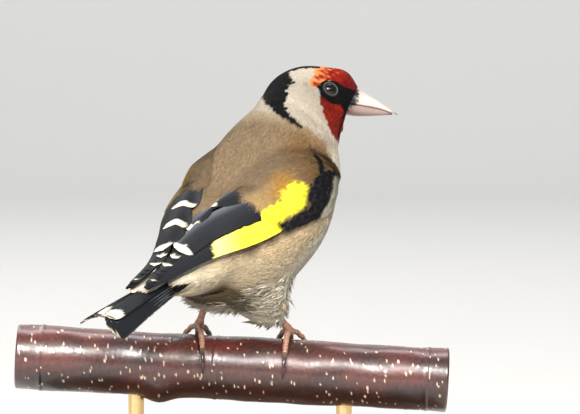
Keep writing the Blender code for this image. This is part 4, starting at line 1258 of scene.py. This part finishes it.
def make_tail():
    """Six pairs of feathers, the middle pair on top, each a little lower than the last."""
    rng = np.random.default_rng(81)
    feathers = Feathers()
    for side in (-1, 1):
        for k in range(6):
            c = side * (0.13 + 0.155 * k)
            length = TAIL_LENGTH - 4.4 + tail_fork(abs(c) + 0.05)
            height = 0.12 - 0.19 * k
            if k == 0 and side < 0:
                c, length, height = c - 0.20, length + 0.3, height + 0.36
            elif k == 0:
                c, length = c - 0.09, length + 1.3
            s = np.linspace(-4.0, length, 48)
            middle = tail_place(s, c * (0.5 + 0.5 * np.clip(s / length, 0, 1))) + TAIL_UP * height
            roll = TAIL_ROLL - side * 0.16 * (k + 0.5)
            up = TAIL_UP * math.cos(roll) - SIDEWAYS * math.sin(roll)
            half = vane_profile(s + 4.0, length + 4.0, 2.15, 2.6)
            top, bottom, offset = upright_vane(middle, up, half, 13, 0.03, 0.16, 0.02, rng)
            tone = tail_colour(k, side, length - s[:, None], offset * side, rng)
            feathers.add(top, bottom, tone, offset, s, (k + 6 * (side + 1)) * 5.1)
    feathers.make("tail_feathers", ("tail_left", "tail_right"))


def tail_colour(k, side, end, inner, rng):
    """Black tail feathers, by mm from their end and outward of their shaft: a white spot near
    the end of the middle ones, a white bar along one of the outer ones, a narrow painted grey
    sheen on the edges and a pale edge on each tip."""
    wave = 0.25 * np.sin(inner * 2.1 + rng.uniform(0, 6))
    wave = wave + 0.12 * np.sin(inner * 9 + rng.uniform(0, 6))
    white = np.zeros_like(wave)
    if k == 0 and side < 0:
        white = ease(5.2, 4.7, end + wave + 0.25 * inner ** 2) * ease(0.8, 1.1, end + wave)
        white = white * ease(1.95, 1.7, np.abs(inner))
    elif k == 0:
        white = ease(6.6, 6.0, end + 2 * wave) * ease(1.4, 1.9, end + wave)
    elif k == 4:
        white = ease(11.0, 10.2, end) * ease(4.2, 5.0, end)
        white = white * ease(1.25, 1.4, inner) * ease(2.0, 1.9, inner)
    colour = mix(BLACK * 0.6 + SLATE * 0.4, VANE_WHITE, white)
    if k > 0:
        # A narrow painted grey sheen along the outer edges of the feathers.
        colour = mix(colour, PAINTED_SHEEN_GREY, 0.9 * ease(1.8, 2.02, inner))
    return mix(colour, CREAM, 0.8 * ease(0.40, 0.15, end))


def make_tail_coverts():
    """The coverts over and under the root of the tail: thin leaves that follow the tail."""
    for above, node_name, seed in ((True, "uppertail_coverts", 91), (False, "undertail_coverts", 92)):
        rng = np.random.default_rng(seed)
        feathers = Feathers()
        for k in range(34):
            c = rng.uniform(-0.25, 0.95) if above else rng.uniform(-0.5, 0.5)
            reach = (15.5 if above else 8.0) * (1 - 0.25 * (c - 0.3) ** 2) * rng.uniform(0.6, 1.0)
            s = np.linspace(-4.0, reach, 20)
            rest = 1 - (s + 4) / (reach + 4)
            height = 0.28 + 0.25 * rest + 0.006 * k if above else -(2.3 + 0.4 * rest + 0.006 * k)
            middle = tail_place(s, c * (0.6 + 0.4 * (1 - rest))) + TAIL_UP * height[:, None]
            half = vane_profile(s + 5, reach + 5, 1.25, 1.6)
            up = TAIL_UP if above else -TAIL_UP
            top, bottom, offset = upright_vane(middle, up, half, 7, 0.05, 0.1, 0.06, rng)
            tone = mix(WHITE, CREAM, 0.9 * ease(3.0, 0.5, reach - s)[:, None])
            feathers.add(top, bottom, tone * rng.uniform(0.85, 1.05), offset, s, k * 3.7)
        feathers.make(f"{node_name}_leaves", (node_name,))


def capped(tone):
    """The colours of a closed tube's points, with those of its two ends' middles."""
    return np.concatenate([tone.reshape(-1, 3), tone[0, :1], tone[-1, :1]])


def tube_piece(name, rings, tone, finish, nodes=()):
    """A closed tube of rings in world mm as an object, with colours over the rings."""
    verts, faces = closed_tube(rings)
    piece(name, verts, faces, finish, nodes, capped(np.broadcast_to(tone, rings.shape)))


# The head's bare parts. The lids' profile: radius and way out from the eye's centre.
LID_PROFILE = ((1.46, 1.66), (1.52, 1.88), (1.62, 1.94), (1.70, 1.94), (1.78, 1.96), (1.86, 1.88),
               (2.05, 1.50), (2.22, 0.9))
PUPIL = np.array([0.004, 0.003, 0.003])
IRIS = np.array([0.012, 0.007, 0.005])
LID_BLACK = np.array([0.008, 0.008, 0.008])
LID_PALE = np.array([0.070, 0.066, 0.062])


def make_eyes():
    """The balls, bulged a little in front, and the lids: their profile turned round the eye,
    wrinkled, with a ring of pale beads."""
    polar = np.linspace(0, math.pi, 40)[1:-1, None]
    turn = np.linspace(0, 2 * math.pi, 64, endpoint=False)
    around = np.linspace(0, 2 * math.pi, 96, endpoint=False)
    line = through(np.linspace(0, 1, 26), np.linspace(0, 1, len(LID_PROFILE)), LID_PROFILE)
    wrinkles = 1 + 0.012 * np.sin(around * 34) + 0.008 * np.sin(around * 55 + 1)
    radius = line[:, :1] * wrinkles * (1 + 0.03 * np.abs(np.cos(around)) ** 3)
    pale = ease(1.68, 1.73, line[:, 0]) * ease(1.84, 1.79, line[:, 0])
    beads = 0.62 + 0.38 * np.sin(around * 31) * np.sin(around * 13 + 2)
    pale = np.concatenate([pale, np.zeros_like(pale)])[:, None] * beads
    for name, (centre, look) in EYES.items():
        rise = unit(HEAD_FRAME[2] - (HEAD_FRAME[2] @ look) * look)
        ahead = unit(HEAD_FRAME[0] - (HEAD_FRAME[0] @ look) * look)
        circle, ring_way = (ahead * np.cos(a)[:, None] + rise * np.sin(a)[:, None]
                            for a in (turn, around))
        bulge = EYE_RADIUS * (1 + 0.035 * np.exp(-(polar / 0.45) ** 2))[..., None]
        ball = look * np.cos(polar)[..., None] + circle * np.sin(polar)[..., None]
        tone = mix(PUPIL, IRIS, ease(0.42, 0.47, polar) * ease(0.75, 0.68, polar))
        tube_piece(f"eyeball_{name}", to_world(centre + ball * bulge), tone, EYE,
                   (f"eye_{name}",))
        lid = centre + look * line[:, 1:, None] + ring_way * radius[..., None]
        loop = np.concatenate([lid, lid[::-1] - look * 0.35])
        verts = to_world(loop.reshape(-1, 3))
        faces = facing_out(verts, [grid_faces(*loop.shape[:2], True, True)])
        tone = mix(LID_BLACK, LID_PALE, pale).reshape(-1, 3)
        piece(f"eyelids_{name}", verts, faces, LID_SKIN, (), tone)


# The bill, in mm forward and up of the head's middle, and the line its bristles end at.
BILL_GAPE = (10.5, 0.45)
BILL_TIP = (22.6, -2.05)
BILL_HALF = 3.05
BILL_HORN = np.array([0.47, 0.415, 0.385])
BILL_PINK = np.array([0.42, 0.24, 0.19])
BILL_DARK = np.array([0.05, 0.035, 0.03])
BILL_LOW_TINT = np.array([0.56, 0.46, 0.45])
BRISTLES_UP = (-2.6, -2.0, -0.44, 0.34, 0.86, 2.0, 3.1, 4.2)
BRISTLES_END = (9.3, 9.4, 10.6, 12.2, 12.1, 12.2, 12.5, 12.1)
# Each half: where its outer line begins and ends, how far and early that bows, its share of
# the gape's length, its half width at the base, the bulge and lowering of its gape.
BILL_PARTS = {
    "upper": ((12.0, 4.15), (22.6, -1.77), 0.28, 0.65, 1.0, BILL_HALF, 0.25, 0.0),
    "lower": ((9.6, -2.6), (21.25, -2.03), -0.42, 0.6, 0.885, BILL_HALF - 0.35, -0.25, -0.07),
}


def make_bill():
    """The conical bill in two halves. Each ring runs from the gape line round the outside as a
    power of the sine and back nearly flat; the base line slides to the tip as t goes to 1."""
    t = np.linspace(-0.08, 1, 64)[:, None]
    near = np.clip(t, 0, 1)
    a = np.linspace(0, math.pi, 41)
    flat = np.linspace(-1, 1, 12)[1:-1]
    edge = np.concatenate([np.minimum(a, math.pi - a), np.zeros(10)])
    ridge = np.concatenate([np.abs(a - math.pi / 2), np.full(10, 2.0)])
    for part, (base, tip, bow, early, end, broad, bulge, lower_by) in BILL_PARTS.items():
        gape = np.array(BILL_GAPE) * (1 - t * end) + np.array(BILL_TIP) * t * end
        gape = gape + np.array([0.0, 0.5]) * np.sin(math.pi * np.clip(t * end, 0, 1) ** 1.4)
        gape = gape + np.array([0.0, lower_by])
        outer = np.array(base) * (1 - t) + np.array(tip) * t
        outer = outer + np.array([0.0, bow]) * np.sin(math.pi * near ** early)
        half = broad * np.clip(1 - t, 0, 2) ** 0.9 + 0.2
        if part == "upper":
            half = half + 0.08 * np.exp(-((near - 0.1) / 0.1) ** 2)
        lift = np.sin(a) ** 0.85
        f = gape[:, :1] + (outer - gape)[:, :1] * lift
        u = gape[:, 1:] + (outer - gape)[:, 1:] * lift
        l = half * np.cos(a) * (1 - 0.06 * np.sin(a) ** 4)
        f = np.concatenate([f, np.repeat(gape[:, :1], 10, 1)], 1)
        u = np.concatenate([u, gape[:, 1:] + bulge * (1 - flat ** 2) * (1 - t)], 1)
        l = np.concatenate([l, half * flat], 1)
        places = on_head(f[..., None], l[..., None], u[..., None])
        tone = mix(BILL_HORN, BILL_PINK, 0.35 * ease(0.35, 0.0, near))
        tone = mix(tone, BILL_PINK * 0.8, 0.5 * ease(0.26, 0.06, edge) * ease(0.1, 0.6, t))
        dark = ease(0.80, 1.0, t)
        if part == "upper":
            dark = np.maximum(dark, 0.85 * ease(0.55, 0.9, t) * ease(0.30, 0.12, ridge))
        tone = mix(tone, BILL_DARK, 0.8 * dark)
        if part == "lower":
            pink = 0.85 * ease(0.55, 0.15, ridge)[None, :]
            tone = mix(tone * BILL_LOW_TINT, BILL_PINK * 0.9, pink)
        smudge = 0.30 * ripple(places, 0.9, 33) + 0.2 * ripple(places, 0.4, 34)
        bristles = f - np.interp(u, BRISTLES_UP, BRISTLES_END) + smudge
        tone = mix(tone, BLACK * 2, ease(0.45, -0.35, bristles))
        tube_piece(f"horn_bill_{part}", to_world(places), tone, HORN, (f"bill_{part}",))


# The branch.
PERCH_RADIUS = 8.0
PERCH_LEFT = -56.0
PERCH_RIGHT = 52.0
PERCH_SLOPE = math.radians(-3.2)
PERCH_TOP = 45.75
BARK_RED = np.array([0.085, 0.015, 0.010])
BARK_DARK = np.array([0.022, 0.007, 0.006])
LENTICEL = np.array([0.62, 0.47, 0.33])
WOOD_TONES = np.array([(0.42, 0.26, 0.14), (0.22, 0.11, 0.055), (0.16, 0.06, 0.035)])
BARK_RINGS = (-49.5, -6.0, 47.0)
PORES = 520


def perch_radius(a, phi):
    """The branch's radius a mm along and phi round it: two waves and one knot."""
    swell = 0.14 * np.sin(a * 0.11 + 0.6) + 0.08 * np.sin(a * 0.37 + 2 * phi)
    knot = 1.75 * np.exp(-((a + 20.0) / 4.2) ** 2) * np.clip(-np.cos(phi - 0.25), 0, 1) ** 3
    return PERCH_RADIUS + swell + knot


def on_perch(a, phi, height=0.0):
    """A place a mm along the branch, phi round it from its top towards +Y, height over its bark."""
    c, s = math.cos(PERCH_SLOPE), math.sin(PERCH_SLOPE)
    a, phi, height = np.broadcast_arrays(a, phi, height)
    r = (perch_radius(a, phi) + height)[..., None]
    around = np.array([-s, 0, c]) * np.cos(phi)[..., None] + SIDEWAYS * np.sin(phi)[..., None]
    middle = np.array([0, 0, PERCH_TOP - PERCH_RADIUS / c]) + np.array([c, 0, s]) * a[..., None]
    return middle + around * r


def make_perch():
    """The branch: its radius by angle and length, with small corky pores that stand out as
    short bars round it, and sawn ends with rings."""
    rng = np.random.default_rng(101)
    a = np.linspace(PERCH_LEFT, PERCH_RIGHT, 430)[:, None]
    phi = np.linspace(0, 2 * math.pi, 130, endpoint=False)[None, :]
    p = np.stack(np.broadcast_arrays(a, 8 * np.cos(phi), 8 * np.sin(phi)), -1)
    height = 0.05 * ripple(p, 6.0, 21) + 0.008 * ripple(p, 0.9, 22)
    dark = 0.45 + 0.45 * ripple(p * np.array([0.4, 1.0, 1.0]), 7.0, 23) + 0.35 * ripple(p, 1.1, 24)
    pores = np.zeros(p.shape[:2])
    for _ in range(PORES):
        at, turn = rng.uniform(PERCH_LEFT, PERCH_RIGHT), rng.uniform(0, 2 * math.pi)
        long, wide = rng.uniform(0.2, 0.62), rng.uniform(0.14, 0.24)
        apart = (np.mod(phi - turn + math.pi, 2 * math.pi) - math.pi) * PERCH_RADIUS
        pores = np.maximum(pores, np.exp(-((a - at) / wide) ** 2 - (apart / long) ** 4))
    height = height + 0.10 * pores
    for ring_at in BARK_RINGS:
        height = height + 0.16 * np.exp(-((a - ring_at - 0.6 * np.sin(phi)) / 0.45) ** 2)
    rounded = np.minimum(a - PERCH_LEFT, PERCH_RIGHT - a)
    height = height - 0.25 * np.clip(1 - rounded / 0.4, 0, 1) ** 2
    tone = mix(BARK_RED, BARK_DARK, np.clip(dark, 0, 1))
    # Painted shade: the bark darker towards the underside of the branch.
    tone = tone * (1 - 0.6 * ease(0.35, -0.7, np.cos(phi)))[..., None]
    tone = mix(tone, LENTICEL, ease(0.35, 0.75, pores))
    tube_piece("cherry_branch", on_perch(a, phi, height), tone, BARK, ("perch",))
    share = np.linspace(0.02, 1.0, 36)[:, None]
    ring_wave = np.sin(share * 40 + 0.5 * np.sin(phi * 2)) * 0.5 + 0.5
    crown = 0.10 * np.sqrt(np.clip(1 - share ** 8, 0, 1)) + 0.02 * ring_wave
    wood = mix(WOOD_TONES[0], WOOD_TONES[1], ring_wave)
    wood = mix(wood, WOOD_TONES[2], ease(0.93, 0.97, share))
    for name, at, out in (("left", PERCH_LEFT, -1), ("right", PERCH_RIGHT, 1)):
        face_at = at + out * crown
        inward = share * (PERCH_RADIUS - 0.55) - perch_radius(face_at, phi)
        face = on_perch(face_at, phi, inward)
        back = on_perch(at - out * 0.3, phi, inward)
        tube_piece(f"sawn_end_{name}", np.concatenate([face, back[::-1]]),
                   np.concatenate([wood, wood[::-1]]), CUT_WOOD)


# Feet: where each stands on the branch, its toes' directions in degrees and the way to its heel.
FEET = {
    "right": {"at": (11.6, -0.5), "toes": (115, 83, 50, -96), "heel": (-9.0, 3.0, 11.0)},
    "left": {"at": (-10.9, -0.5), "toes": (61, 93, 125, -78), "heel": (-3.0, -6.5, 12.6)},
}
TOES = ("inner", "middle", "outer", "hind")
TOE_LENGTH = (7.6, 10.8, 8.0, 6.0)
TOE_RADIUS = (0.62, 0.68, 0.60, 0.68)
CLAW_LENGTH = (4.0, 4.6, 4.0, 6.6)
TOE_START = 2.3
TOE_ROOT = 0.2                 # a toe begins this far from the middle of the foot's ball
FOOT_HEIGHT = 2.45
TARSUS = 14.5
GAP = 0.3
LEG_BROWN = np.array([0.27, 0.135, 0.085])
LEG_PINK = np.array([0.42, 0.24, 0.17])
LEG_DARK = np.array([0.11, 0.055, 0.036])
CLAW_DARK = np.array([0.030, 0.020, 0.016])
CLAW_PALE = np.array([0.16, 0.10, 0.07])


def toe_path(foot, k, steps, start=TOE_START):
    """Points of a toe from beside the ball of the foot down over the branch, and where on the
    branch it ends: mm along, angle round and height."""
    x, y = foot["at"]
    angle = math.radians(foot["toes"][k])
    s = np.linspace(start, TOE_START + TOE_LENGTH[k], steps)
    share = (s - TOE_START) / TOE_LENGTH[k]
    height = GAP + TOE_RADIUS[k] + 0.15 + 1.0 * (1 - share) ** 2
    knuckle = 0.22 * np.sin(np.clip(share, 0, 1) * math.pi * 3) ** 2
    a = x + s * math.cos(angle) * (1 - 0.25 * share)
    phi = (y + s * math.sin(angle)) / (PERCH_RADIUS + 0.8)
    return on_perch(a, phi, height + knuckle), a[-1], phi[-1], height[-1]


def tube_rings(path, radii, columns, relief=0.0):
    """Rings round a path: the frame is carried along it, the radius may vary round it."""
    ahead = unit(np.gradient(path, axis=0))
    start = unit(np.cross(ahead[0], [0.3, 0.2, 0.9]))
    across = unit(start - (start @ ahead.T)[:, None] * ahead)
    other = np.cross(ahead, across)
    phi = np.linspace(0, 2 * math.pi, columns, endpoint=False)[None, :, None]
    ring_way = across[:, None] * np.cos(phi) + other[:, None] * np.sin(phi)
    radius = np.broadcast_to(radii[:, None] * (1 + relief), (len(path), columns))
    return path[:, None] + ring_way * radius[..., None]


def scaly_tube(path, radii, columns, reach, step, deep, strength, pale_until, dark_band):
    """A tube of overlapping plates: its relief is a saw tooth along its length, strongest in
    front, and each plate is pink where it begins and dark where it ends."""
    phi = np.linspace(0, 2 * math.pi, columns, endpoint=False)
    saw = np.mod(reach / step, 1.0)[:, None]
    relief = deep * (1 - saw) ** 2 * (0.35 + 0.65 * np.clip(np.cos(phi), 0, 1))
    rings = tube_rings(path, radii, columns, relief)
    tone = mix(LEG_BROWN, LEG_PINK, strength * ease(pale_until, 0.1, saw))
    tone = mix(tone, LEG_DARK, strength * ease(*dark_band, saw))
    return closed_tube(rings), capped(np.broadcast_to(tone, rings.shape))


def make_feet():
    """Each leg is a tube from the foot's ball towards the heel, and each toe one over the
    branch, with pads that swell its radius; the claws are pieces of their own."""
    for name, foot in FEET.items():
        rng = np.random.default_rng(111 if name == "left" else 112)
        x, y = foot["at"]
        share = np.linspace(0, 1, 120)
        path = on_perch(x, y / PERCH_RADIUS, FOOT_HEIGHT)
        path = path + world_way(unit(foot["heel"])) * (share * (TARSUS + 1.5) - 1.2)[:, None]
        path = path - SIDEWAYS * 0.25 * np.sin(share * math.pi)[:, None]
        radii = np.interp(share, [0, 0.05, 0.12, 0.2, 0.6, 0.9, 1.0],
                          [0.75, 1.2, 1.15, 0.86, 0.74, 0.85, 1.1])
        parts = [scaly_tube(path, radii, 28, share * TARSUS, 1.35, 0.10, 0.7, 0.5, (0.88, 0.98))]
        share = np.linspace(0, 1, 90)
        pads = 0.09 * np.sin(np.clip(share * 1.25 - 0.2, 0, 1) * math.pi * 3) ** 2
        for k, toe in enumerate(TOES):
            path = toe_path(foot, k, 90, TOE_ROOT)[0]
            reach = share * (TOE_LENGTH[k] + TOE_START - TOE_ROOT)
            radii = TOE_RADIUS[k] * (1.12 - 0.28 * share + pads)
            radii = radii * np.clip((1 - share) / 0.04 + 0.35, 0, 1) ** 0.5
            shape, tone = scaly_tube(path, radii, 22, reach, 0.95, 0.13, 0.75, 0.6, (0.85, 0.97))
            parts.append((shape, tone * rng.uniform(0.9, 1.1)))
            make_claw(name, foot, k, toe)
        verts, faces = join([shape for shape, _tone in parts])
        nodes = [f"leg_{name}"] + [f"toe_{name}_{toe}" for toe in TOES]
        piece(f"scaled_foot_{name}", verts, faces, LEG_SKIN, nodes,
              np.concatenate([tone for _shape, tone in parts]))


def make_claw(name, foot, k, toe):
    """A curved claw: its rings shrink as a power of the way to the tip."""
    _, a_end, phi_end, height = toe_path(foot, k, 10)
    angle = math.radians(foot["toes"][k])
    s = np.linspace(0.1, CLAW_LENGTH[k], 40)
    share = (s - s[0]) / (s[-1] - s[0])
    a = a_end + s * math.cos(angle) * 0.35
    phi = phi_end + math.copysign(1.0, math.sin(angle)) * s / (PERCH_RADIUS + 1.2)
    arch = 0.75 * np.sin(share * math.pi * 0.9) * (CLAW_LENGTH[k] / 5.0)
    path = on_perch(a, phi, height + arch - 0.28 * share)
    rings = tube_rings(path, 0.60 * (1 - share) ** 0.75 + 0.05, 18)
    tone = mix(CLAW_DARK, CLAW_PALE, 0.8 * ease(0.35, 0.0, share)[:, None])
    tube_piece(f"horn_claw_{name}_{toe}", rings, tone, CLAW_HORN,
               (f"claw_{name}_{toe}",))


def dress_stand():
    for name, finish in (("stand_base", STAND_WOOD), ("stand_rod_left", BRASS),
                         ("stand_rod_right", BRASS)):
        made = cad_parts[name]
        made.data.materials.clear()
        made.data.materials.append(finish)


# The room: floor and backdrop in one sweep, lights and the camera, in metres.
SWEEP_HALF = 3.0
SWEEP_FRONT = -3.0
SWEEP_BACK = 1.6               # where the floor begins to curve up
SWEEP_RADIUS = 0.8
SWEEP_TOP = 2.6


def in_scene(name, data):
    made = bpy.data.objects.new(name, data)
    bpy.context.scene.collection.objects.link(made)
    return made


def make_stage():
    """The sweep: a level floor, a quarter circle and an upright back."""
    floor, tree, shader = new_finish("pale_floor", base_color=(0.60, 0.595, 0.58, 1.0),
                                     roughness=0.85)
    where = node(tree, "ShaderNodeTexCoord", (-700, 0))
    grain = node(tree, "ShaderNodeTexNoise", (-500, 0), scale=40.0, detail=3.0)
    wire(tree, (where, "Object", grain, "Vector"))
    add_bump(tree, shader, grain, "Fac", 0.05, 0.0005)
    turn = np.linspace(0, math.pi / 2, 24)
    y = np.concatenate([[SWEEP_FRONT], SWEEP_BACK + SWEEP_RADIUS * np.sin(turn),
                        [SWEEP_BACK + SWEEP_RADIUS]])
    z = np.concatenate([[0.0], SWEEP_RADIUS * (1 - np.cos(turn)), [SWEEP_TOP]])
    points = [(x, float(y[i]), float(z[i])) for i in range(len(y)) for x in (-SWEEP_HALF, SWEEP_HALF)]
    mesh = bpy.data.meshes.new("studio_sweep")
    mesh.from_pydata(points, [], grid_faces(len(y), 2).tolist())
    mesh.materials.append(floor)
    mesh.shade_smooth()
    in_scene("studio_sweep", mesh)


TARGET = Vector((0.0125, 0.0, 0.0783))
CAMERA_AWAY = 1.2
CAMERA_RISE = math.radians(3.0)
FRAME_WIDTH = 0.145
SENSOR = 36.0
# Lamps: name, place, aim, size or width and height, power in watts, colour.
LAMPS = (
    ("key", (0.42, -1.14, 0.95), TARGET, (0.14,), 24.0, (1.0, 0.965, 0.90)),
    ("strip", (-0.26, -0.82, 0.66), (0.0, 0.0, 0.038), (0.42, 0.28), 15.0, (1.0, 0.97, 0.94)),
    ("fill", (-0.9, -0.8, 0.45), TARGET, (1.1,), 4.5, (0.93, 0.96, 1.0)),
    ("back", (-0.5, 0.8, 0.9), TARGET, (0.8,), 4.0, (1.0, 0.99, 0.97)),
    ("backdrop", (0.0, 0.9, 1.9), (0.0, 2.3, 0.5), (1.6,), 26.0, (0.98, 0.99, 1.0)),
)


def aim_at(made, place, aim):
    made.location = place
    made.rotation_euler = (Vector(aim) - Vector(place)).to_track_quat("-Z", "Y").to_euler()


def make_camera_and_lights():
    """The camera with the photo's framing, the lamps and a soft even light."""
    data = bpy.data.cameras.new("camera")
    data.sensor_width = SENSOR
    data.lens = SENSOR * CAMERA_AWAY / FRAME_WIDTH
    data.clip_start = 0.05
    data.clip_end = 20.0
    camera = in_scene("camera", data)
    view = Vector((0, -math.cos(CAMERA_RISE), math.sin(CAMERA_RISE)))
    aim_at(camera, TARGET + view * CAMERA_AWAY, TARGET)
    bpy.context.scene.camera = camera
    for name, place, aim, size, power, colour in LAMPS:
        data = bpy.data.lights.new(name, "AREA")
        data.shape = "RECTANGLE" if len(size) > 1 else "DISK"
        data.size = size[0]
        data.size_y = size[-1]
        data.energy = power
        data.color = colour
        aim_at(in_scene(name, data), place, aim)
    world = bpy.data.worlds.new("soft_room")
    world.use_nodes = True
    set_inputs(world.node_tree.nodes["Background"], color=(0.93, 0.95, 1.0, 1.0), strength=0.34)
    bpy.context.scene.world = world
    bpy.context.scene.view_settings.view_transform = "Standard"


make_camera_and_lights()
make_stage()
make_skin()
make_coat()
make_strands()
for wing_side, wing_name, wing_grid in ((-1, "right", RIGHT_WING), (1, "left", LEFT_WING)):
    make_wing_bed(wing_name, wing_grid)
    make_wing_coat(wing_side, wing_name, wing_grid)
    make_flight_feathers(wing_side, wing_name, wing_grid)
make_tail()
make_tail_coverts()
make_eyes()
make_bill()
make_perch()
make_feet()
dress_stand()
